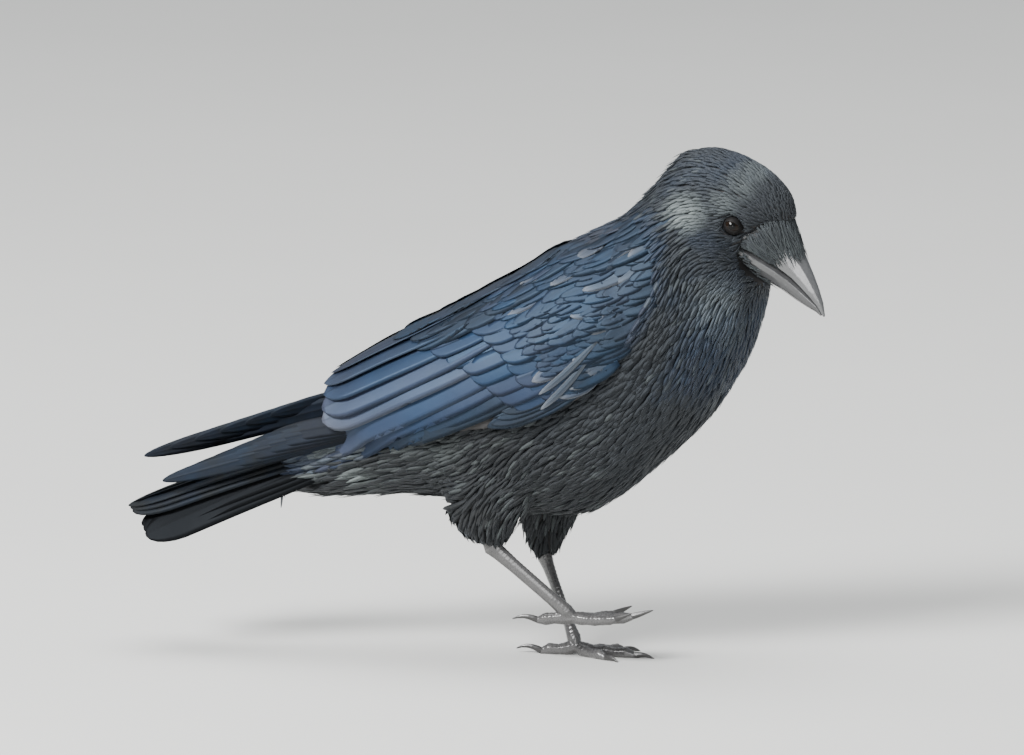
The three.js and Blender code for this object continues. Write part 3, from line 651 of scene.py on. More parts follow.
def around_eyes(rows, heading):
    """Bends headings so that feathers in front of an eye part and pass round it."""
    for eye, *_ in eye_frames.values():
        away = rows - eye
        gap = np.linalg.norm(away, axis=1, keepdims=True)
        outwards = away / np.maximum(gap, TINY)
        closeness = np.clip((EYE_DETOUR - gap) / (EYE_DETOUR - EYE_RADIUS), 0, 1)
        towards = np.minimum(np.sum(heading * outwards, axis=1, keepdims=True), 0)
        heading = unit(heading - outwards * towards * closeness)
    return heading


def off_the_balls(spine):
    """Spines moved out where they would run through an eyeball."""
    for eye, *_ in eye_frames.values():
        away = spine - eye
        gap = np.linalg.norm(away, axis=-1, keepdims=True)
        spine = eye + away * np.maximum(1, (EYE_RADIUS + BALL_COVER) / np.maximum(gap, TINY))
    return spine


def over_an_eye(spine):
    """Whether any part of a spine comes over the opening of an eye."""
    found = np.zeros(len(spine), bool)
    for eye, ahead, upwards, looks in eye_frames.values():
        away = spine - eye
        oval = (away @ ahead / EYE_OPENING[0]) ** 2 + (away @ upwards / EYE_OPENING[1]) ** 2
        in_front = (away @ looks > 0) & (np.linalg.norm(away, axis=-1) < EYE_REGION)
        found |= ((oval < 1) & in_front).any(axis=1)
    return found


# %% Walk over the skin
ON_SKIN = 0.55  # the least agreement of normals for a step to stay on the surface
LONGEST_FALL = 0.5  # in steps: how far the surface may lie from a step's end
COMB_PULL = 0.6
CLIMB, ROOT_LIFT = 2.2, 0.12


def walk(surface, roots, lengths, stations, sway):
    """Spines of feathers on a surface: points, normals and headings at each station."""
    places, normals = surface.nearest(roots)
    heading, _ = plan_at(places)
    heading = along_surface(around_eyes(places, unit(heading)), normals)
    heading = unit(heading + np.cross(normals, heading) * sway[:, None])
    spine, ups = [places], [normals]
    for step in np.diff(stations):
        ahead = places + heading * (lengths * step)[:, None]
        landed, new_normals = surface.nearest(ahead)
        on_skin = (np.sum(new_normals * normals, axis=1) > ON_SKIN) & (
            np.linalg.norm(landed - ahead, axis=1) < (LONGEST_FALL * lengths * step + MM)
        )
        places = np.where(on_skin[:, None], landed, ahead)
        normals = np.where(on_skin[:, None], unit(new_normals + normals), normals)
        wanted, _ = plan_at(places)
        wanted = along_surface(around_eyes(places, unit(wanted)), normals)
        pulled = unit(along_surface(heading, normals) + COMB_PULL * wanted)
        heading = np.where(on_skin[:, None], pulled, heading)
        spine.append(places)
        ups.append(normals)
    return np.stack(spine, axis=1), np.stack(ups, axis=1)


def raised(spine, ups, height, stations, kick):
    """Lifts a spine off the skin: steep at the root, level at the tip, with an extra kick at the end."""
    climb = 1 - (1 - stations) ** CLIMB
    lift = height[:, None] * blend(ROOT_LIFT, 1, climb[None]) + kick[:, None] * stations[None] ** 3
    return spine + ups * lift[..., None]


# %% [markdown]
# ## Where the coat meets the wing
#
# The feathers of neck and breast lie over the front of the folded wing. So the wing's foremost row has
# a line of its own round the trunk. Coat rooted behind that line is left out, and coat rooted ahead of
# it is lifted where it passes over the wing. It also takes up the wing's gloss as it comes near.

# %% Leave out what the wings hide
WING_OVER = 22 * MM
FRONT_ANGLES = [8, 14, 28, 50, 76, 88, 94]
FRONT_TIPS = [-1000, 22, 30, 26, 11, -3, -1000]  # how far forward the tips of the foremost row lie, in mm
COAT_PAST_TIPS = 16.0  # mm from there to the last roots of the coat
LESSER_LENGTH = 22.0  # mm, of the wing's foremost feathers
OVER_RAMP, OVER_WING = 9.0, 1.0  # mm over which the coat rises to clear the wing, and how much it rises
GLOSS_NEAR_WING, NEAR_WING = 0.72, 20.0
WING_BEHIND = 85.0  # mm behind that line where the wing's front no longer counts


def behind_front(rows):
    """How far places lie behind the last roots of the coat ahead of the wing, in millimetres."""
    line = np.interp(angle_round(rows), FRONT_ANGLES, FRONT_TIPS) + COAT_PAST_TIPS
    return line - (rows[..., 0] - START_X) / MM


def under_wing(rows, ups):
    """Whether the wing's form lies close over each point."""
    hits = [both_wings.tree.ray_cast(Vector(r), Vector(u), WING_OVER) for r, u in zip(rows, ups)]
    return np.array([hit[0] is not None for hit in hits])


# %% Painted sheen: patches and glinting tips
# soft patches of painted sheen: x, y, z, radius and strength, and how far the place turns with the head
PAINTED_SHEEN_PATCHES = [
    (61.2, 24.6, 254.5, 9.5, 0.85, 1.0), (96.8, 5.9, 279.3, 7.0, 0.30, 1.0),
    (90.3, 10.5, 270.5, 8.0, 0.36, 1.0), (82.0, 16.8, 261.3, 7.5, 0.34, 1.0),
    (76.0, 28.0, 203.0, 13.0, 0.28, 0.7), (80.0, 20.0, 188.0, 10.0, 0.22, 0.5),
    (-154.0, 24.0, 117.0, 6.5, 0.75, 0.0), (-157.0, 18.0, 103.0, 5.0, 0.5, 0.0),
    (-131.0, 26.0, 99.0, 6.5, 0.75, 0.0), (-133.0, 32.0, 118.0, 7.0, 0.5, 0.0),
    (-104.0, 38.0, 124.0, 9.0, 0.35, 0.0), (-80.0, 42.0, 120.0, 10.0, 0.25, 0.0),
]
PATCH_EDGE = 1.6  # in radii: how far out a patch has faded to nothing
# painted glints at the tips of loose feathers: the share that get one, and how strong
SPECKLED, SPECKLE = 0.12, 0.20  # share of loose feathers with a pale tip, and its strength
LOOSE = 0.17  # ruffle from which a feather counts as loose


def painted_sheen_at(rows, ruffle):
    """How strong the painted sheen on each feather is: the patches, and painted glints at loose tips here
    and there.
    """
    amount = SPECKLE * (rng.random(len(rows)) < SPECKLED) * (ruffle > LOOSE)
    for x, y, z, radius, strength, share in PAINTED_SHEEN_PATCHES:
        for side in SIDES.values():
            middle = at(*turned((x, side * y, z), share))
            gap = np.linalg.norm(rows - middle, axis=1) / (radius * MM)
            amount = np.maximum(amount, strength * np.clip(PATCH_EDGE - gap, 0, 1))
    return amount * (0.7 + 0.3 * rng.random(len(rows)))

# %% Lay the coat
VANE_THICKNESS = 0.08 * MM
COAT_LEAN, COAT_CAMBER = 0.16, 0.07
LEAST_COMBED = 0.35  # how far a feather's own direction must agree with the comb
LENGTH_LOW, LENGTH_SPREAD = 0.8, 0.4
WIDTH_LOW, WIDTH_SPREAD = 0.85, 0.3
HEIGHT_LOW, HEIGHT_SPREAD = 0.90, 0.10
SWAY, KICK = 1.6, 2.0
COAT_ROOT = 0.45  # the width of a feather's root, as a share of its full width


def lay_coat(name, chosen, stations, section, tip_share):
    """One piece of coat from some of the roots."""
    here = roots[chosen]
    _, values = plan_at(here)
    jitter = rng.random((4, len(here)))
    lengths = values[:, LENGTH] * MM * (LENGTH_LOW + LENGTH_SPREAD * jitter[0])
    ruffle = values[:, RUFFLE]
    sway = ruffle * (jitter[1] - 0.5) * SWAY
    spine, ups = walk(coat_surface, here, lengths, stations, sway)
    kick = (jitter[2] ** 3) * ruffle * values[:, HEIGHT] * MM * KICK
    height = values[:, HEIGHT] * MM * (HEIGHT_LOW + HEIGHT_SPREAD * jitter[3])
    hidden = under_wing(spine[:, 0], ups[:, 0]) & under_wing(spine[:, -1], ups[:, -1])
    behind = behind_front(spine)
    hidden |= (behind[:, 0] > 0) & (behind[:, 0] < WING_BEHIND)
    nearness = np.clip(1 + behind[:, 0] / NEAR_WING, 0, 1)
    gloss = np.maximum(values[:, GLOSS], GLOSS_NEAR_WING * nearness)
    over = np.clip((behind + LESSER_LENGTH - COAT_PAST_TIPS) / OVER_RAMP, 0, 1) * (behind < WING_BEHIND)
    spine = raised(spine, ups, height, stations, kick) + ups * (over * OVER_WING * MM)[..., None]
    spine = off_the_balls(spine)
    ahead = unit(spine[:, -1] - spine[:, 0])
    combed_on = np.sum(ahead * unit(plan_at(here)[0]), axis=1) > LEAST_COMBED
    good = combed_on & ~(hidden | over_an_eye(spine))
    outline = rounded_outline(stations, COAT_ROOT, tip_share)
    half = values[:, HALF_WIDTH : HALF_WIDTH + 1] * MM * outline[None]
    half *= WIDTH_LOW + WIDTH_SPREAD * jitter[1][:, None]
    # each feather carries the strength of its painted sheen for the material to read
    shades = {
        "tint": jitter[3][good],
        "gloss": gloss[good],
        "painted_sheen": painted_sheen_at(spine[good, -2], ruffle[good]),
    }
    obj = vane_mesh(name, spine[good], ups[good], half[good], section, VANE_THICKNESS, stations, shades,
                    lean=(jitter[0][good] - 0.5) * values[good, HALF_WIDTH] * MM * COAT_LEAN,
                    camber=COAT_CAMBER, map_spots=skin_map_places(here[good]))
    print(f"{name}: {good.sum()} feathers, {len(obj.data.polygons)} faces")
    return obj

# %% The coat in pieces
PLUSH = np.array([0, 0.3, 0.6, 0.85, 1.0]), PLUSH_SECTION
CONTOUR = np.array([0, 0.25, 0.52, 0.74, 0.89, 0.97, 1.0]), CONTOUR_SECTION
MOST_PLUSH, MOST_CONTOUR = 4800, 2400  # feathers in one piece
WIDE = 2.0  # mm of half width from which a feather gets the finer section
HEAD_FROM, HEAD_SPACING = 205.0, 2.0  # mm: the head's coat is this high up, and closer than this
root_values = plan_at(roots)[1]
is_wide = root_values[:, HALF_WIDTH] > WIDE
ahead_of_root = np.argsort(-roots[:, 0], kind="stable")


def lay_in_pieces(name, wanted, most, *shape):
    """The coat of some roots in pieces of no more than some count, from bill to tail."""
    order = ahead_of_root[wanted[ahead_of_root]]
    batches = np.array_split(order, math.ceil(len(order) / most))
    return [lay_coat(f"{name}_{i + 1}", batch, *shape) for i, batch in enumerate(batches)]


on_head = (roots[:, 2] > HEAD_FROM * MM) & (root_values[:, SPACING] < HEAD_SPACING)
head_coat = lay_in_pieces("head_coat", on_head, MOST_PLUSH, *PLUSH, 0.5)
body_coat = lay_in_pieces("body_coat", ~on_head & ~is_wide, MOST_PLUSH, *PLUSH, 0.55)
back_coat = lay_in_pieces("back_coat", ~on_head & is_wide, MOST_CONTOUR, *CONTOUR, 0.4)

# %% [markdown]
# ## Points around the trunk
#
# Wing feathers are drawn by two numbers: how far along the bird they are, and the angle from the top
# of the back round to the belly. A ray from outside towards the trunk's axis finds the surface there.
# The wing curls round the body, so this is simpler than drawing on it from one side.

# %% Draw on the wing by length and angle
FROM_OUTSIDE = 150 * MM


def around(side, x, angle):
    """The outermost surface at arrays of lengths (mm) and angles (degrees): places and normals."""
    shape = x.shape
    turn = np.radians(angle.ravel())
    outward = np.stack([np.zeros_like(turn), SIDES[side] * np.sin(turn), np.cos(turn)], axis=1)
    axis = axis_under(np.stack([at(value, 0, 0) for value in x.ravel()]))
    surface = outer_surface[side]
    hits = surface.from_outside(axis + outward * FROM_OUTSIDE, -outward)
    places = np.array([tuple(h[0]) if h[0] is not None else a for h, a in zip(hits, axis)])
    normals = np.array([surface.normals[h[2]] if h[0] is not None else o for h, o in zip(hits, outward)])
    return places.reshape(*shape, 3), normals.reshape(*shape, 3)


def evened(rows, rounds=2):
    """Rows along each spine smoothed a little, so that a step in the surface doesn't kink a feather."""
    for _ in range(rounds):
        rows = rows.copy()
        rows[:, 1:-1] = (rows[:, :-2] + 2 * rows[:, 1:-1] + rows[:, 2:]) / 4
    return rows


# %% [markdown]
# ## The feathers of the wing
#
# A folded wing is a set of tiled rows. The long secondaries come first and reach to the back of the
# wing, then the greater, median and lesser coverts, each row lying over the roots of the row behind.
# The shoulder feathers close the gap to the back, and the alula lies along the lower front edge.
# Within a row the lower edge of each vane lies over the next one below, which a small lean gives.

# %% A row of the wing
WING_TIP_BIAS, WING_ROOT = 1.5, 0.4


def wing_row(name, side, drawn, half, level, tip_share, section=FLIGHT_SECTION, rings=12,
             thickness=0.12, gloss=1.0, pale=0.0, lean=1.2, camber=0.06, bow=2.0,
             stray=(0.7, 0.5, 0.9, 0.6)):
    """One row: drawn holds root length, root angle, tip length and tip angle of each feather."""
    drawn = np.asarray(drawn, float)
    drawn = drawn + rng.normal(0, 1, drawn.shape) * stray
    stations = closing_stations(rings, WING_TIP_BIAS)
    x = blend(drawn[:, :1], drawn[:, 2:3], stations[None])
    angle = blend(drawn[:, 1:2], drawn[:, 3:4], stations[None]) + bow * np.sin(stations[None] * math.pi)
    spine, ups = around(side, x, angle)
    spine, ups = evened(spine), unit(evened(ups, 3))
    height = blend(level[0], level[1], 1 - (1 - stations) ** 2) * MM
    spine = spine + ups * height[None, :, None]
    half = for_each(half, drawn)[:, None] * rounded_outline(stations, WING_ROOT, tip_share)[None] * MM
    # pale is the strength of the painted glints on each feather
    shades = {
        "tint": rng.random(len(drawn)),
        "gloss": for_each(gloss, drawn),
        "pale": for_each(pale, drawn),
    }
    return vane_mesh(f"{side}_{name}", spine, ups, half, section, thickness * MM, stations, shades,
                     lean=-SIDES[side] * lean * MM, camber=camber)


def for_each(value, feathers):
    """One number, or one to a feather, as one to a feather."""
    return np.broadcast_to(np.asarray(value, float), (len(feathers),))


def fan(count, root_x, root_angle, tip_x, tip_angle, belly=0.0):
    """Feathers from the lowest to the topmost, each value running evenly from one to the other."""
    u = np.linspace(0, 1, count)
    return np.stack([blend(*root_x, u), blend(*root_angle, u),
                     blend(*tip_x, u) - belly * np.sin(math.pi * u), blend(*tip_angle, u)], axis=1)

# %% The short feathers of the wing
LESSER_ROWS, LESSER_COUNT = 11, 17
LESSER_ANGLES, LESSER_BACK = (88, 14), (-14, -60)  # from low to high, and the hindmost tips
LESSER_GLOSS = np.repeat(np.linspace(0.72, 0.50, LESSER_ROWS), LESSER_COUNT)
# painted glints at the tips of some short feathers: their share, and how strong
GLINT_TIPPED, GLINT_TIP = 0.10, 0.75  # share of the short feathers with a pale tip, and how pale


def lesser_rows():
    """Short round feathers in staggered rows over the front of the wing."""
    drawn = []
    for row in range(LESSER_ROWS):
        share = row / (LESSER_ROWS - 1)
        for i in range(LESSER_COUNT):
            u = (i + 0.5 * (row % 2)) / LESSER_COUNT
            angle = blend(*LESSER_ANGLES, u)
            tip = blend(blend(*LESSER_BACK, u), np.interp(angle, FRONT_ANGLES, FRONT_TIPS), share)
            drawn.append((tip + LESSER_LENGTH, angle - 1, tip, angle + 2))
    return drawn


SHOULDER_ANGLES, SHOULDER_COUNT, SHOULDER_LENGTH = (28, 20, 12), 9, 34
SHOULDER_FIRST, SHOULDER_STEP, SHOULDER_STAGGER = 12, 13.5, 5


def shoulder_rows():
    """The large rounded feathers that close the wing against the back."""
    drawn = []
    for row, angle in enumerate(SHOULDER_ANGLES):
        for i in range(SHOULDER_COUNT):
            tip = SHOULDER_FIRST - SHOULDER_STEP * i - SHOULDER_STAGGER * row
            drawn.append((tip + SHOULDER_LENGTH, angle - 2, tip, angle + 2))
    return drawn

# %% Build the wings
# the long feathers from the lowest to the topmost: root length and angle, tip length and angle
SECONDARIES = [(-15, 78, -104, 80), (-15, 73, -122, 75), (-16, 66, -139, 68), (-18, 57, -145, 58),
               (-22, 47, -147, 48), (-26, 37, -147, 38), (-30, 28, -146, 28), (-36, 19, -150, 19),
               (-42, 11, -146, 11)]
SECONDARY_HALF = [8.5, 9, 10, 11.5, 11.5, 12, 12, 11, 9]
# painted glints along the edges of some long feathers, one number to a feather
SECONDARY_GLINT = [0, 0, 0, 0.1, 0.28, 0.06, 0.03, 0.06, 0]
SECONDARY_GLOSS = [0.45, 0.6, 0.9, 1, 1, 0.95, 0.85, 0.75, 0.6]


def build_wing(side):
    """All the rows of one wing that lie on its form."""
    return [
        wing_row("secondaries", side, SECONDARIES, SECONDARY_HALF, (-3.2, -1.5), 0.13, rings=20,
                 gloss=SECONDARY_GLOSS, pale=SECONDARY_GLINT),
        wing_row("greater_coverts", side, fan(9, (0, -52), (80, 18), (-38, -98), (84, 19)),
                 9.5, (-2.3, -1.05), 0.2, rings=14, thickness=0.1, gloss=0.85, lean=0.7),
        wing_row("median_coverts", side, fan(10, (6, -40), (82, 19), (-22, -74), (86, 20)),
                 8.5, (-1.7, -0.55), 0.4, rings=10, thickness=0.1, gloss=0.78, lean=0.45),
        wing_row("primary_coverts", side, fan(4, (8, 0), (92, 84), (-52, -44), (95, 88)),
                 5.0, (-2.4, -1.5), 0.3, gloss=0.45),
        # the alula's two lighter streaks are painted glints
        wing_row("alula", side, [(12, 68, -21, 86), (7, 76, -20, 95)],
                 2.0, (-0.2, 0.9), 0.4, gloss=0.4, pale=0.62, lean=0.3, stray=(0.4, 0.3, 0.4, 0.3)),
        wing_row("lesser_coverts", side, lesser_rows(), 4.6, (-0.75, -0.05), 0.6,
                 section=CONTOUR_SECTION, rings=8, thickness=0.07, gloss=LESSER_GLOSS,
                 pale=GLINT_TIP * (rng.random(LESSER_ROWS * LESSER_COUNT) < GLINT_TIPPED),
                 bow=0, lean=0.15, camber=0.025, stray=(1.8, 1.4, 2.2, 1.6)),
        wing_row("shoulder_feathers", side, shoulder_rows(), 7.5, (-1.2, -0.2), 0.5,
                 section=CONTOUR_SECTION, rings=10, thickness=0.08, gloss=0.52,
                 bow=0, lean=0.25, camber=0.03, stray=(1.8, 0.8, 2.2, 0.8)),
    ]


wing_pieces = {side: build_wing(side) for side in SIDES}
print(sum(len(p.data.polygons) for pieces in wing_pieces.values() for p in pieces), "faces on the wings")

# %% [markdown]
# ## Free blades: the primaries and the tail
#
# The tips of the wings and the whole tail stand free of the body. Each feather there is a long blade on
# a nearly straight shaft. A roll about the shaft sets which way its flat side looks: nearly outwards in
# the folded primaries, and upwards in the tail, where each pair is turned a little more than the last.

# %% Blades
BLADE_RINGS, BLADE_TIP_BIAS, BLADE_ROOT = 18, 1.6, 0.35
BLADE_THICKNESS, BLADE_CAMBER = 0.2 * MM, 0.06


def blades(name, roots_at, tips_at, roll, side, half, tip_share, bow, gloss, narrow=0.75):
    """Long feathers from their root and tip places, with the roll of each in degrees."""
    roots_at, tips_at = np.asarray(roots_at), np.asarray(tips_at)
    roll = np.radians(np.asarray(roll, float))[:, None]
    stations = closing_stations(BLADE_RINGS, BLADE_TIP_BIAS)
    heading = unit(tips_at - roots_at)
    facing = np.sin(roll) * np.array([0, side, 0]) + np.cos(roll) * np.array([0, 0, 1.0])
    facing = along_surface(facing, heading)
    spine = blend(roots_at[:, None], tips_at[:, None], stations[None, :, None])
    spine = spine + facing[:, None] * (np.sin(stations * math.pi) * bow * MM)[None, :, None]
    ups = np.broadcast_to(facing[:, None], spine.shape)
    outline = rounded_outline(stations, BLADE_ROOT, tip_share) * blend(1, narrow, stations**2)
    half = for_each(half, roll)[:, None] * outline[None] * MM
    shades = {"tint": rng.random(len(roll)), "gloss": for_each(gloss, roll)}
    return vane_mesh(name, spine, ups, half, FLIGHT_SECTION, BLADE_THICKNESS, stations, shades,
                     camber=BLADE_CAMBER)


# %% Primaries
PRIMARIES = 6
WING_POINTS = {"right": (-239, -19, 96.5), "left": (-255, 15, 104.5)}
INNER_TIPS = {"right": (-180, -22, 123), "left": (-184, 20, 128.5)}
PRIMARY_ROOTS = {"right": (-90, -34, 143), "left": (-90, 34, 151)}
PRIMARY_ROLLS = (66, 80)
ROOTS_APART = 4 * MM


def build_primaries(side):
    """The long outer feathers, which show under the secondaries and past them."""
    u = np.linspace(0, 1, PRIMARIES)[:, None]
    tips_at = blend(at(*INNER_TIPS[side]), at(*WING_POINTS[side]), u)
    inward = np.array([0, -SIDES[side], -0.4])
    root = at(*PRIMARY_ROOTS[side]) + inward * u * ROOTS_APART
    return blades(side + "_primaries", root, tips_at, np.linspace(*PRIMARY_ROLLS, PRIMARIES), SIDES[side],
                  6.6, 0.28, bow=1.5, gloss=0.45)


primary_pieces = {side: build_primaries(side) for side in SIDES}
print(PRIMARIES, "primaries to a side")

# %% Tail feathers
PAIRS = 6
OUTER = 3  # the outer pairs are folded under the others, in their shade
OUTER_SHORTER = [4.0, 0.0, -2.0]
TIP_DROP, OUTER_DROP = 0.275, 3  # how the tips step down pair by pair, and the folded ones more
TAIL_GLOSS = 0.4
# the central feather's root, tip and roll, and what each further pair adds
TAIL_ROOT, ROOT_STEP = np.array([-112, 2, 130]), np.array([0, 1.2, -1])
TAIL_TIP, TIP_STEP = np.array([-261, 3.5, 79.5]), np.array([1.8, 4, 0])
TAIL_ROLL, ROLL_STEP = 10, 8


def build_tail(side):
    """Six tail feathers of one side, from the central one down to the outermost."""
    p = np.arange(PAIRS)
    sign = SIDES[side]
    mirror = np.array([1, sign, 1])
    roots_at = [at(*(TAIL_ROOT + ROOT_STEP * i) * mirror) for i in p]
    folded = p >= PAIRS - OUTER
    drop = TIP_DROP * p * (p + 1) + np.where(folded, OUTER_DROP, 0)
    tips_at = [at(*(TAIL_TIP + TIP_STEP * i - [0, 0, d]) * mirror) for i, d in zip(p, drop)]
    tips_at = tips_at + np.where(folded[:, None], OUTER_SHORTER, [0, 0, 0]) * MM
    return blades(side + "_tail_feathers", roots_at, tips_at, TAIL_ROLL + ROLL_STEP * p, sign, 12.5, 0.16,
                  bow=2.0, gloss=np.where(folded, 0.0, TAIL_GLOSS), narrow=0.92)


tail_pieces = {side: build_tail(side) for side in SIDES}
print(PAIRS, "pairs of tail feathers")

# %% [markdown]
# ## The bill
#
# The bill is solid horn with a worn polish. Its two halves come from their solids, rebuilt in fine
# cells so that no facet shows.

# %% Make the bill
BILL_CELL, BILL_ROUNDS = 0.4 * MM, 8
bill = {
    half + "_bill": fused(half + "_bill", [half + "_mandible"], BILL_CELL, BILL_ROUNDS)
    for half in ("upper", "lower")
}
print({name: len(horn.data.polygons) for name, horn in bill.items()}, "faces of the bill")

# %% [markdown]
# ## Bristles at the base of the bill
#
# A crow's nostrils are covered by stiff bristle feathers that lie forward along the upper bill. They
# are narrow vanes that walk over the bill as the coat walks over the skin.

# %% Where bristles grow and how they lie
GAPE, FACE_CORNER = (90.0, 235.0), (106.0, 249.0)  # on the edge of the feathers, in the side view
PAST_LOWER_EDGE = (0.66, -0.75)  # the way out over the bill from the edge's two parts
PAST_UPPER_EDGE = (0.16, -0.99)
PAST_CHIN_EDGE = (0.77, 0.64)
ALONG_MOUTH, ALONG_RIDGE = (0.84, -0.54), (0.50, -0.87)
RIDGE_OVER_MOUTH = 18.0
MOUTH_BACK = (96.3, 235.9)  # a place on the bill's cutting edge
PAST_MOUTH = (0.56, 0.83)  # the way up from that edge


def past_the_face(rows):
    """How far places on the bill lie ahead of the feathers' edge, in millimetres."""
    x, z = rows[:, 0], rows[:, 2]
    lower = (x - GAPE[0]) * PAST_LOWER_EDGE[0] + (z - GAPE[1]) * PAST_LOWER_EDGE[1]
    upper = (x - FACE_CORNER[0]) * PAST_UPPER_EDGE[0] + (z - FACE_CORNER[1]) * PAST_UPPER_EDGE[1]
    return np.minimum(lower, upper)


def bristle_headings(rows):
    """Along the mouth low on the bill, and along its ridge above."""
    above = (rows[:, 0] - GAPE[0]) * -ALONG_MOUTH[1] + (rows[:, 2] - GAPE[1]) * ALONG_MOUTH[0]
    share = np.clip(above / RIDGE_OVER_MOUTH, 0, 1)[:, None]
    across, up = np.hsplit(blend(np.array([ALONG_MOUTH]), np.array([ALONG_RIDGE]), share), 2)
    return unit(np.hstack([across * math.cos(HEAD_TURN), -across * math.sin(HEAD_TURN), up]))


def past_the_chin(rows):
    """The same for the lower bill, whose feathers end along a line from the gape to the chin."""
    return (rows[:, 0] - GAPE[0]) * PAST_CHIN_EDGE[0] + (rows[:, 2] - GAPE[1]) * PAST_CHIN_EDGE[1]


def over_mouth(rows):
    """How far places on the bill lie above its cutting edge, in millimetres."""
    return (rows[:, 0] - MOUTH_BACK[0]) * PAST_MOUTH[0] + (rows[:, 2] - MOUTH_BACK[1]) * PAST_MOUTH[1]

# %% Lay the bristles
BARE_EDGE = 3.4  # mm of bare horn above the cutting edge
SET_BACK = -3.0  # mm under the face's feathers where the first bristles start
BRISTLE_STATIONS = np.linspace(0, 1, 7)
BRISTLE_HALF, BRISTLE_THICKNESS = 0.42 * MM, 0.10 * MM
BRISTLE_SWAY, BRISTLE_GLOSS = 0.5, 0.25
# how strong the painted sheen on the bristles is: the least, and the random part on top
LEAST_PAINTED_SHEEN, PAINTED_SHEEN_SPREAD = 0.05, 0.25
LIFTED, FRESH_LIFTED, TIPS_LIFTED = 0.35, 0.9, 0.6  # mm: all along, at the newest roots, and at the tips


def lay_bristles(name, horn, past, reach, count, shortest, longest, bare, crest):
    """One piece of narrow vanes pointing down one half of the bill, lifted by a crest at their roots."""
    bill_surface = Surface(bill[horn])
    candidates = points_of(bill[horn])
    drawn = straightened(candidates)
    ahead = past(drawn)
    clear = (over_mouth(drawn) > bare) | (drawn[:, 0] < MOUTH_BACK[0] + 1)
    candidates = candidates[(ahead > SET_BACK) & (ahead < reach) & clear]
    here = candidates[rng.choice(len(candidates), count, replace=False)]
    drawn, stations = straightened(here), BRISTLE_STATIONS
    lengths = blend(shortest, longest, rng.random(count)) * MM
    fresh = np.clip(1 - past(drawn) / reach, 0, 1)[:, None]
    crested = np.clip(over_mouth(drawn) / RIDGE_OVER_MOUTH, 0, 1)[:, None] * crest
    places, normals = bill_surface.nearest(here)
    heading = along_surface(bristle_headings(straightened(places)), normals)
    sway = (rng.random(count) - 0.5) * BRISTLE_SWAY
    heading = unit(heading + np.cross(normals, heading) * sway[:, None])
    spine, ups = [places], [normals]
    for step in np.diff(stations):
        places, normals = bill_surface.nearest(places + heading * (lengths * step)[:, None])
        heading = along_surface(heading, normals)
        spine.append(places)
        ups.append(normals)
    spine, ups = np.stack(spine, axis=1), np.stack(ups, axis=1)
    lift = LIFTED + (FRESH_LIFTED + crested) * fresh * (1 - stations)
    lift = lift + TIPS_LIFTED * stations * rng.random((count, 1))
    spine = spine + ups * (lift * MM)[..., None]
    half = BRISTLE_HALF * (1 - stations**2.5 * 0.9)[None] * (0.7 + 0.6 * rng.random((count, 1)))
    shades = {
        "tint": rng.random(count),
        "gloss": np.full(count, BRISTLE_GLOSS),
        "painted_sheen": LEAST_PAINTED_SHEEN + rng.random(count) * PAINTED_SHEEN_SPREAD,
    }
    return vane_mesh(name, spine, ups, half, PLUSH_SECTION, BRISTLE_THICKNESS, stations, shades)


EVERYWHERE = -1000.0
bristles = [
    lay_bristles("nostril_bristles", "upper_bill", past_the_face, 9.0, 900, 10, 18, BARE_EDGE, 2.8),
    lay_bristles("chin_bristles", "lower_bill", past_the_chin, 0.5, 200, 3, 5, EVERYWHERE, 0.0),
]
print({piece.name: len(piece.data.polygons) for piece in bristles}, "faces of bristles")

# %% [markdown]
# ## The eyes
#
# An eye is a ball of which only a part shows. The clear front bulges a little over the iris. A ring of
# bare lid closes it against the feathers. Both start as primitives at the eye's own place.

# %% Eyeballs
CORNEA_SHARE, CORNEA_BULGE = 0.62, 0.35 * MM


def to_eye(side):
    """The turn and place that bring a piece made round the origin, looking up, to an eye."""
    centre, ahead, upwards, looks = eye_frames[side]
    if np.cross(ahead, upwards) @ looks < 0:
        upwards = -upwards
    rows = [[*row, spot] for row, spot in zip(np.stack([ahead, upwards, looks], axis=1), centre)]
    return Matrix(rows + [[0, 0, 0, 1]])


def make_eye(side):
    """The eyeball with its clear front, and the distance of each point from its axis as a number."""
    bpy.ops.object.select_all(action="DESELECT")
    bpy.ops.mesh.primitive_uv_sphere_add(segments=64, ring_count=40, radius=EYE_RADIUS)
    eye = bpy.context.object
    eye.name = side + "_eyeball"
    rows = points_of(eye)
    off_axis = np.linalg.norm(rows[:, :2], axis=1)
    front = np.clip(1 - off_axis / (CORNEA_SHARE * EYE_RADIUS), 0, 1) * (rows[:, 2] > 0)
    rows[:, 2] += CORNEA_BULGE * front**1.5
    place_points(eye, rows)
    paint_value(eye.data, "off_axis", np.where(rows[:, 2] > 0, off_axis, EYE_RADIUS) / EYE_RADIUS)
    eye.data.transform(to_eye(side))
    bpy.ops.object.shade_smooth()
    return eye

eyes = {side: make_eye(side) for side in SIDES}
print(f"the eyeballs are {2 * EYE_RADIUS / MM:.1f} mm across")

# %% Lids
LID_THICKNESS = 0.5 * MM
LID_WIDTH, LID_FLATNESS = 2.8, 0.5  # how much the ring is spread over the ball, and flattened on it
LID_GAP = 0.15 * MM
WRINKLE, WRINKLES = 0.05 * MM, 47
CORNERS = 0.10  # how much longer the opening is for its two corners


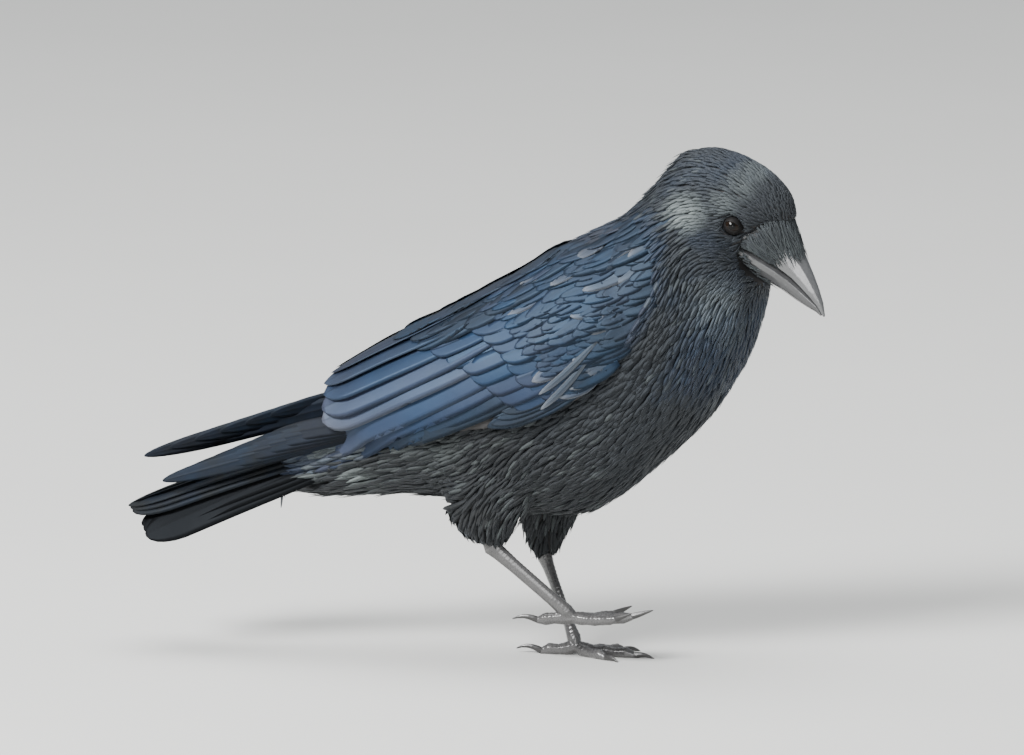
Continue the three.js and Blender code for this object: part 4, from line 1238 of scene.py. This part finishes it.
def make_lids(side):
    """Bare lid round the opening, almond shaped, running out over the ball under the feathers."""
    bpy.ops.object.select_all(action="DESELECT")
    bpy.ops.mesh.primitive_torus_add(major_radius=1.0, minor_radius=LID_THICKNESS,
                                     major_segments=96, minor_segments=14)
    lids = bpy.context.object
    lids.name = side + "_eyelids"
    rows = points_of(lids)
    reach = np.linalg.norm(rows[:, :2], axis=1, keepdims=True)
    round_it = rows[:, :2] / reach
    angle = np.arctan2(round_it[:, 1], round_it[:, 0])
    corner = 1 + CORNERS * np.abs(np.cos(angle)) ** 8
    wrinkle = WRINKLE * np.sin(angle * WRINKLES)
    oval = round_it * np.array(EYE_OPENING) * corner[:, None]
    rows[:, :2] = oval + round_it * ((reach - 1 + LID_THICKNESS) * LID_WIDTH + wrinkle[:, None])
    out = np.linalg.norm(rows[:, :2], axis=1)
    on_ball = np.sqrt(np.maximum((EYE_RADIUS + LID_GAP) ** 2 - out**2, 0))
    rows[:, 2] = rows[:, 2] * LID_FLATNESS + on_ball
    place_points(lids, rows)
    lids.data.transform(to_eye(side))
    bpy.ops.object.shade_smooth()
    return lids


lids = {side: make_lids(side) for side in SIDES}
print("the lids leave", [round(2 * half / MM, 1) for half in EYE_OPENING], "mm open")

# %% [markdown]
# ## Legs and feet
#
# Below the thighs a crow's legs are bare. Their front is covered by overlapping scutes like small
# tiles, and the toes carry a row of them on top and soft pads below. The shapes come from the solids,
# rebuilt in fine cells, and the scutes are raised by moving points along their normals in a saw
# pattern that runs down each bone.

# %% Raise the scutes
SCUTE, SCUTE_RISE = 2.6 * MM, 0.22 * MM
SCUTE_SLOPE = 0.82  # the share of a scute that rises before it drops to the next
SCUTES_FACE = np.array([[0.35, 0, 1.0]])  # forwards and up
SCUTES_FROM, SCUTES_FADE = 0.05, 0.5  # how far a place must face that way, and how soon they are full


def bone_axis(solid):
    """A solid's middle and its long direction."""
    rows = points_of(nodes[solid])
    middle = rows.mean(axis=0)
    _, _, directions = np.linalg.svd(rows - middle, full_matrices=False)
    return middle, directions[0]


def add_scutes(foot, solids):
    """Raises a row of scutes along the upper side of each bone."""
    rows, normals = points_of(foot), normals_of(foot)
    trees = [Surface(nodes[solid]).tree for solid in solids]
    gap = np.array([[tree.find_nearest(Vector(row))[3] for row in rows] for tree in trees])
    nearest = gap.argmin(axis=0)
    rise = np.zeros(len(rows))
    for i, solid in enumerate(solids):
        middle, direction = bone_axis(solid)
        if direction[0] < 0:
            direction = -direction
        face = along_surface(SCUTES_FACE, direction[None])[0]
        run = (rows - middle) @ direction / SCUTE
        tile = run - np.floor(run)
        saw = np.where(tile < SCUTE_SLOPE, tile / SCUTE_SLOPE, (1 - tile) / (1 - SCUTE_SLOPE))
        front = np.clip((normals @ face - SCUTES_FROM) / SCUTES_FADE, 0, 1)
        rise = np.where(nearest == i, saw * front, rise)
    put_on_floor(foot, rows + normals * (rise * SCUTE_RISE)[:, None])


def put_on_floor(obj, rows):
    """Places points where the array says, but none of them under the floor."""
    rows[:, 2] = np.maximum(rows[:, 2], 0.0)
    place_points(obj, rows)

# %% Make the feet and the claws
TOES = ["third", "second", "fourth", "hind"]
FOOT_CELL, FOOT_ROUNDS = 0.42 * MM, 5
CLAW_CELL, CLAW_ROUNDS = 0.28 * MM, 4


def make_foot(side):
    """The shank and the four toes of one side, as one skin."""
    solids = [side + "_tarsus"] + [f"{side}_{toe}_toe" for toe in TOES]
    foot = fused(side + "_foot", solids, FOOT_CELL, FOOT_ROUNDS)
    add_scutes(foot, solids)
    return foot, solids


def make_claws(side):
    """The four claws of one side."""
    solids = [f"{side}_{toe}_claw" for toe in TOES]
    claws = fused(side + "_claws", solids, CLAW_CELL, CLAW_ROUNDS)
    put_on_floor(claws, points_of(claws))
    return claws, solids


feet = {side: make_foot(side) for side in SIDES}
claws = {side: make_claws(side) for side in SIDES}
print({foot.name: len(foot.data.polygons) for foot, _ in feet.values()}, "faces of the feet")

# %% [markdown]
# ## Shader maths as plain expressions
#
# A material is a graph of nodes. To write it as maths, a small class wraps a socket, so that adding two
# sockets adds a Math node. Anything that isn't plain maths comes from its one method for nodes.

# %% A wrapped socket
class Link:
    """A socket of a material, on which maths can be written."""

    def __init__(self, tree, socket=None):
        self.tree = tree
        self.socket = socket

    def node(self, kind, inputs=None, output=0, **settings):
        """A new node: its settings first, then the values or links of its sockets."""
        made = self.tree.nodes.new(kind)
        for key, value in settings.items():
            setattr(made, key, value)
        for key, value in (inputs or {}).items():
            if isinstance(value, Link):
                self.tree.links.new(value.socket, made.inputs[key])
            else:
                made.inputs[key].default_value = value
        return Link(self.tree, made.outputs[output] if len(made.outputs) else None)

    def maths(self, operation, *values, clamp=False):
        """The result of one Math node."""
        return self.node("ShaderNodeMath", dict(enumerate(values)), operation=operation, use_clamp=clamp)

    def __add__(self, other):
        return self.maths("ADD", self, other)

    def __sub__(self, other):
        return self.maths("SUBTRACT", self, other)

    def __rsub__(self, other):
        return self.maths("SUBTRACT", other, self)

    def __mul__(self, other):
        return self.maths("MULTIPLY", self, other)

    def __pow__(self, other):
        return self.maths("POWER", self, other)

    __radd__ = __add__
    __rmul__ = __mul__

    def limited(self):
        """The value kept between 0 and 1."""
        return self.maths("ADD", self, 0.0, clamp=True)

    def value(self, name):
        """A number that the mesh carries."""
        return self.node("ShaderNodeAttribute", output=2, attribute_name=name)

    def mixed(self, share, first, second):
        """Two colours mixed by a share."""
        return self.node("ShaderNodeMix", {0: share, 6: first, 7: second}, output=2, data_type="RGBA")

    def noise(self, place, scale, detail=3.0):
        """Soft noise at a place, with so many spots to a metre."""
        return self.node("ShaderNodeTexNoise", {"Vector": place, "Scale": scale, "Detail": detail,
                                               "Roughness": 0.6})

    def bumped(self, height, strength, depth):
        """A normal bent by a height."""
        return self.node("ShaderNodeBump", {"Strength": strength, "Distance": depth, "Height": height})

# %% Open and close a material
def new_material(name):
    """An empty material, and a link to start its maths from."""
    material = bpy.data.materials.new(name)
    material.use_nodes = True
    material.node_tree.nodes.clear()
    return material, Link(material.node_tree)


def close_material(link, colour, roughness, normal=None, **constants):
    """The shader itself, with what varies linked and what doesn't set on its own sockets."""
    inputs = {"Base Color": colour, "Roughness": roughness}
    if normal is not None:
        inputs["Normal"] = normal
    inputs.update({name.replace("_", " "): value for name, value in constants.items()})
    shader = link.node("ShaderNodeBsdfPrincipled", inputs)
    link.node("ShaderNodeOutputMaterial", {"Surface": shader})


# %% [markdown]
# ## The finish of the feathers
#
# A crow's feather is black pigment under a thin clear layer that throws back blue. The small feathers
# of the belly are dull and brownish, those of wings and back are glossy, and the head is like velvet.
# The gloss and a tint for each feather are numbers that the mesh carries, and so are the strengths of
# a painted sheen and of painted glints on edges and tips, which lighten the colour. Barbs run slantwise
# from the shaft to the edge; a fine bump and a fine stripe in the colour follow them.

# %% Feather material
BROWN = (0.0130, 0.0120, 0.0100, 1)
BLACK = (0.0075, 0.0085, 0.0095, 1)
BLUE = (0.0085, 0.0270, 0.0640, 1)
VIOLET = (0.0200, 0.0210, 0.0400, 1)
GREY = (0.085, 0.090, 0.095, 1)
# the colour that the painted sheen mixes in, a pale greenish grey
PAINTED_SHEEN = (0.150, 0.172, 0.166, 1)
# the colour of painted glints on edges and tips
PAINTED_GLINT = (0.24, 0.25, 0.27, 1)
IN_SHADE = (0.0030, 0.0030, 0.0032, 1)
SHAFT = (0.008, 0.008, 0.009, 1)
CLOUDS, BROAD_CLOUDS, FINE_GRAIN = 60.0, 22.0, 420.0  # spots to a metre
BARB_SLANT = 1.1
BUMP_STRENGTH, BUMP_DEPTH = 0.35, 0.12 * MM


def feather_material(name, rough_dull, rough_gloss, barbs, sheen, level, lustre, wear, shaded=False):
    """A finish for one kind of feather. In a shaded one the feathers without gloss are nearly black."""
    material, link = new_material(name)
    gloss, tint = link.value("gloss"), link.value("tint")
    across, along = link.value("across"), link.value("along")
    place = link.node("ShaderNodeTexCoord", output=3)
    vane = link.node("ShaderNodeUVMap", uv_map="vane")
    split = link.node("ShaderNodeSeparateXYZ", {"Vector": vane})
    sideways = link.maths("ABSOLUTE", split)
    onwards = Link(link.tree, split.socket.node.outputs[1])
    stripe = link.maths("SINE", (onwards - sideways * BARB_SLANT) * barbs)
    cloud = link.noise(place, CLOUDS)
    broad = link.noise(place, BROAD_CLOUDS, detail=1.0)
    fine = link.noise(place, FINE_GRAIN)
    shaft = (1 - link.maths("ABSOLUTE", across) * 9).limited()
    edge = link.maths("ABSOLUTE", across) ** 7
    dull = link.mixed((gloss * 2.2 + (cloud - 0.5) * 0.8).limited(), BROWN, BLACK)
    lustrous = link.mixed((tint * 0.7 + (broad - 0.5) * 1.5).limited(), BLUE, VIOLET)
    colour = link.mixed(((gloss - 0.35) * 1.5 + (cloud - 0.5) * 0.6).limited(), dull, lustrous)
    worn = (edge * (0.10 + tint * 0.25) + along**12 * 0.15 + stripe * 0.03 + (fine - 0.5) * 0.3).limited()
    colour = link.mixed(worn * wear, colour, GREY)
    # painted glints: lighter edges and tip where the mesh asks for them
    pale = (link.value("pale") * (edge * 0.8 + along**8 * 0.5 + 0.1)).limited()
    colour = link.mixed(pale, colour, PAINTED_GLINT)
    # painted sheen: the colour lightens, more towards the feather's tip
    painted_sheen = (link.value("painted_sheen") * (along * 0.6 + 0.5 + (cloud - 0.5) * 0.8)).limited()
    colour = link.mixed(painted_sheen, colour, PAINTED_SHEEN)
    colour = link.mixed((shaft * 0.5).limited(), colour, SHAFT)
    if shaded:
        colour = link.mixed(((0.2 - gloss) * 5).limited(), colour, IN_SHADE)
    rough = rough_dull + gloss * (rough_gloss - rough_dull) + (cloud - 0.5) * 0.12 + tint * 0.06
    height = stripe * 0.5 + fine
    normal = link.bumped(height, BUMP_STRENGTH, BUMP_DEPTH)
    close_material(link, colour, rough.limited(), normal, Sheen_Weight=sheen, Sheen_Roughness=0.45,
                   Sheen_Tint=SHEEN, Specular_IOR_Level=level, Specular_Tint=lustre)
    return material


SHEEN, COOL, BLUE_LUSTRE = (0.72, 0.82, 1.0, 1), (0.75, 0.86, 1.0, 1), (0.50, 0.72, 1.0, 1)
plush_finish = feather_material("velvety head feathers", 0.62, 0.45, 9.0, 0.05, 0.42, COOL, 0.4)
body_finish = feather_material("body feathers", 0.68, 0.42, 7.0, 0.03, 0.36, COOL, 0.4)
wing_finish = feather_material("glossy wing feathers", 0.56, 0.42, 6.0, 0.0, 0.37, BLUE_LUSTRE, 0.22)
tail_finish = feather_material("dull long feathers", 0.62, 0.50, 6.0, 0.0, 0.14, COOL, 0.15, True)
print("feather finishes:", [made.name for made in (plush_finish, body_finish, wing_finish, tail_finish)])

# %% [markdown]
# ## The finish of the bare parts
#
# Horn, scale and skin are nearly black, and what sets them apart is their shine: the bill is polished
# by use, the legs gleam a little, and lids and skin are dull. The lower bill's horn is darker than the
# upper's as painted shade on its underside. Each finish mixes two close colours in soft clouds, which
# looks less like plastic than one flat colour. The eye has its own finish, with a black pupil in a dark
# brown iris.

# %% Skin, horn and scale materials
# dark and light colour, roughness, spots to a metre, depth of the grain and strength of the shine
PLAIN_LOOKS = {
    "skin under the feathers": ((0.010, 0.009, 0.009), (0.018, 0.017, 0.017), 0.75, 60.0, 0.10, 0.5),
    "bill horn": ((0.042, 0.043, 0.044), (0.115, 0.117, 0.120), 0.20, 90.0, 0.05, 1.0),
    # the bill's horn made darker for the lower bill: painted shade on its underside
    "lower bill horn in painted shade": ((0.026, 0.026, 0.027), (0.075, 0.076, 0.078), 0.24, 90.0, 0.05, 0.8),
    "leg scales": ((0.034, 0.033, 0.034), (0.085, 0.083, 0.082), 0.28, 200.0, 0.07, 0.9),
    "claw horn": ((0.016, 0.015, 0.015), (0.045, 0.044, 0.043), 0.30, 300.0, 0.05, 0.6),
    "eyelid skin": ((0.003, 0.003, 0.003), (0.010, 0.009, 0.009), 0.60, 500.0, 0.08, 0.15),
}


def plain_finish(name, dark, light, rough, spots, depth, shine):
    """A finish of two colours in cloudy patches with a fine grain."""
    material, link = new_material(name)
    place = link.node("ShaderNodeTexCoord", output=3)
    cloud = link.noise(place, spots)
    grain = link.noise(place, spots * 9)
    colour = link.mixed((cloud * 0.8 + grain * 0.4 - 0.1).limited(), (*dark, 1), (*light, 1))
    varied = (rough + (grain - 0.5) * 0.18).limited()
    normal = link.bumped(grain, 0.4, depth * MM)
    close_material(link, colour, varied, normal, Specular_IOR_Level=shine)
    return material


plain = {name: plain_finish(name, *look) for name, look in PLAIN_LOOKS.items()}
print("plain finishes:", list(plain))

# %% Eye material
PUPIL, RIM = 0.40, 0.70  # their edges, as shares of the ball's radius
PUPIL_BLACK, RIM_BLACK = (0.002, 0.002, 0.002, 1), (0.006, 0.005, 0.005, 1)
IRIS_DARK, IRIS_LIGHT = (0.004, 0.0025, 0.0015, 1), (0.012, 0.006, 0.003, 1)


def eye_finish():
    """A black pupil in a dark brown iris, under a wet clear front."""
    material, link = new_material("eye")
    place = link.node("ShaderNodeTexCoord", output=3)
    off_axis = link.value("off_axis")
    threads = link.noise(place, 1500.0)
    iris = link.mixed(threads, IRIS_DARK, IRIS_LIGHT)
    colour = link.mixed(((PUPIL - off_axis) * 30).limited(), iris, PUPIL_BLACK)
    colour = link.mixed(((off_axis - RIM) * 12).limited(), colour, RIM_BLACK)
    close_material(link, colour, 0.12 + threads * 0.05, Coat_Weight=0.08, Coat_Roughness=0.04,
                   Specular_IOR_Level=0.15)
    return material


glassy_eye = eye_finish()
print("the pupil takes", PUPIL, "of the ball's radius")

# %% [markdown]
# ## Everything joins the frame
#
# Each piece rides on the part's one body and gets its finish, and the solids that it stands for are
# hidden.

# %% Ride, replace and paint
def finish_piece(obj, material, slot, *replaced):
    """Gives a piece its finish, hangs it on the body, and hides the solids it replaces."""
    obj.data.materials.clear()
    obj.data.materials.append(material)
    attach(obj, "root")
    if replaced:
        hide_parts(*replaced)


finish_piece(skin, plain["skin under the feathers"], "body_feathers", *FLESH)
for piece in head_coat:
    finish_piece(piece, plush_finish, "body_feathers")
for piece in body_coat + back_coat:
    finish_piece(piece, body_finish, "body_feathers")
for side in SIDES:
    finish_piece(wing_forms[side], plain["skin under the feathers"], "flight_feathers",
                 side + "_wing_coverts", side + "_wing_secondaries")
    for piece in wing_pieces[side]:
        finish_piece(piece, wing_finish, "flight_feathers")
    finish_piece(primary_pieces[side], tail_finish, "flight_feathers", side + "_wing_primaries")
    finish_piece(tail_pieces[side], tail_finish, "flight_feathers", "tail_" + side)
    finish_piece(eyes[side], glassy_eye, "eye", side + "_eye")
    finish_piece(lids[side], plain["eyelid skin"], "eye")
    finish_piece(feet[side][0], plain["leg scales"], "leg_skin", *feet[side][1])
    finish_piece(claws[side][0], plain["claw horn"], "claw", *claws[side][1])
finish_piece(bill["upper_bill"], plain["bill horn"], "bill", "upper_mandible")
finish_piece(bill["lower_bill"], plain["lower bill horn in painted shade"], "bill", "lower_mandible")
for piece in bristles:
    finish_piece(piece, plush_finish, "body_feathers")

# %% [markdown]
# ## Floor and light
#
# A plain pale floor runs past every edge of the picture. A broad soft light from the upper left gives
# the shape, a second from above lights the back, a small low one in front wakes the gloss of horn and
# head, and weak light all round opens the shadows.

# %% Floor
FLOOR_DARK, FLOOR_LIGHT = (0.60, 0.60, 0.58, 1), (0.64, 0.64, 0.62, 1)
FLOOR_SIZE, FLOOR_ROUGHNESS = 60, 0.8
floor_paint, floor_link = new_material("pale floor")
floor_cloud = floor_link.noise(floor_link.node("ShaderNodeTexCoord", output=3), 3.0)
close_material(floor_link, floor_link.mixed(floor_cloud, FLOOR_DARK, FLOOR_LIGHT), FLOOR_ROUGHNESS)
bpy.ops.object.select_all(action="DESELECT")
bpy.ops.mesh.primitive_plane_add(size=FLOOR_SIZE)
floor = bpy.context.object
floor.name = "floor"
floor.data.materials.append(floor_paint)
floor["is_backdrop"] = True

# %% Lights
# place, size in metres and power in watts
LIGHTS = {
    "key light": ((-1900, -2600, 2600), 1.5, 400),
    "top light": ((-300, 500, 3000), 2.4, 100),
    "fill light": ((750, -2900, 480), 0.9, 24),
}
SKY, SKY_STRENGTH = (0.90, 0.95, 1.0, 1), 0.42


def soft_light(name, place, size, power, aim):
    """A square soft light at a place, aimed at a point."""
    lamp = bpy.data.lights.new(name, "AREA")
    lamp.shape = "SQUARE"
    lamp.size = size
    lamp.energy = power
    holder = bpy.data.objects.new(name, lamp)
    bpy.context.scene.collection.objects.link(holder)
    holder.location = Vector(place)
    holder.rotation_mode = "QUATERNION"
    holder.rotation_quaternion = (Vector(aim) - Vector(place)).to_track_quat("-Z", "Y")


bird_middle = at(-20, 0, 150)
for name, (place, size, power) in LIGHTS.items():
    soft_light(name, at(*place), size, power, bird_middle)
world = bpy.data.worlds.new("studio")
bpy.context.scene.world = world
world.use_nodes = True
background = world.node_tree.nodes["Background"]
background.inputs["Color"].default_value = SKY
background.inputs["Strength"].default_value = SKY_STRENGTH
print(len(LIGHTS), "lights and a pale sky")

# %% [markdown]
# ## The camera
#
# The camera stands far away with a long lens, a little above the bird and nearly square to its side.
# So far off, near and far parts of the bird keep their true sizes, as in a picture taken with a long
# lens. The distance and the size of a pixel at the bird give the lens.

# %% Camera
CAMERA_AZIMUTH = math.radians(8)
CAMERA_HEIGHT_ANGLE = math.radians(9.5)
CAMERA_DISTANCE = 8.0
PICTURE_WIDTH, PICTURE_HEIGHT = 1024, 755
PIXEL = 0.56 * MM  # the size of a pixel at the bird
START_PIXEL = (590, 655)  # where the drawing's start lies in the picture
SENSOR = 36.0

right_hand = Vector((math.cos(CAMERA_AZIMUTH), math.sin(CAMERA_AZIMUTH), 0))
back = Vector((
    math.sin(CAMERA_AZIMUTH) * math.cos(CAMERA_HEIGHT_ANGLE),
    -math.cos(CAMERA_AZIMUTH) * math.cos(CAMERA_HEIGHT_ANGLE),
    math.sin(CAMERA_HEIGHT_ANGLE),
))
upward = back.cross(right_hand)
target = (
    Vector(at(0, 0, 0))
    + right_hand * (PICTURE_WIDTH / 2 - START_PIXEL[0]) * PIXEL
    + upward * (START_PIXEL[1] - PICTURE_HEIGHT / 2) * PIXEL
)
lens = bpy.data.cameras.new("camera")
lens.sensor_width = SENSOR
lens.lens = SENSOR * CAMERA_DISTANCE / (PICTURE_WIDTH * PIXEL)
lens.clip_end = 100
camera = bpy.data.objects.new("camera", lens)
bpy.context.scene.collection.objects.link(camera)
camera.location = target + back * CAMERA_DISTANCE
camera.rotation_mode = "QUATERNION"
camera.rotation_quaternion = (-back).to_track_quat("-Z", "Y")
bpy.context.scene.camera = camera
print(f"a lens of {lens.lens:.0f} mm at {CAMERA_DISTANCE} m")

# %% Sizes and the end
bpy.context.view_layer.update()
total = 0
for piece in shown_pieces():
    piece.data.calc_loop_triangles()
    total += len(piece.data.loop_triangles)
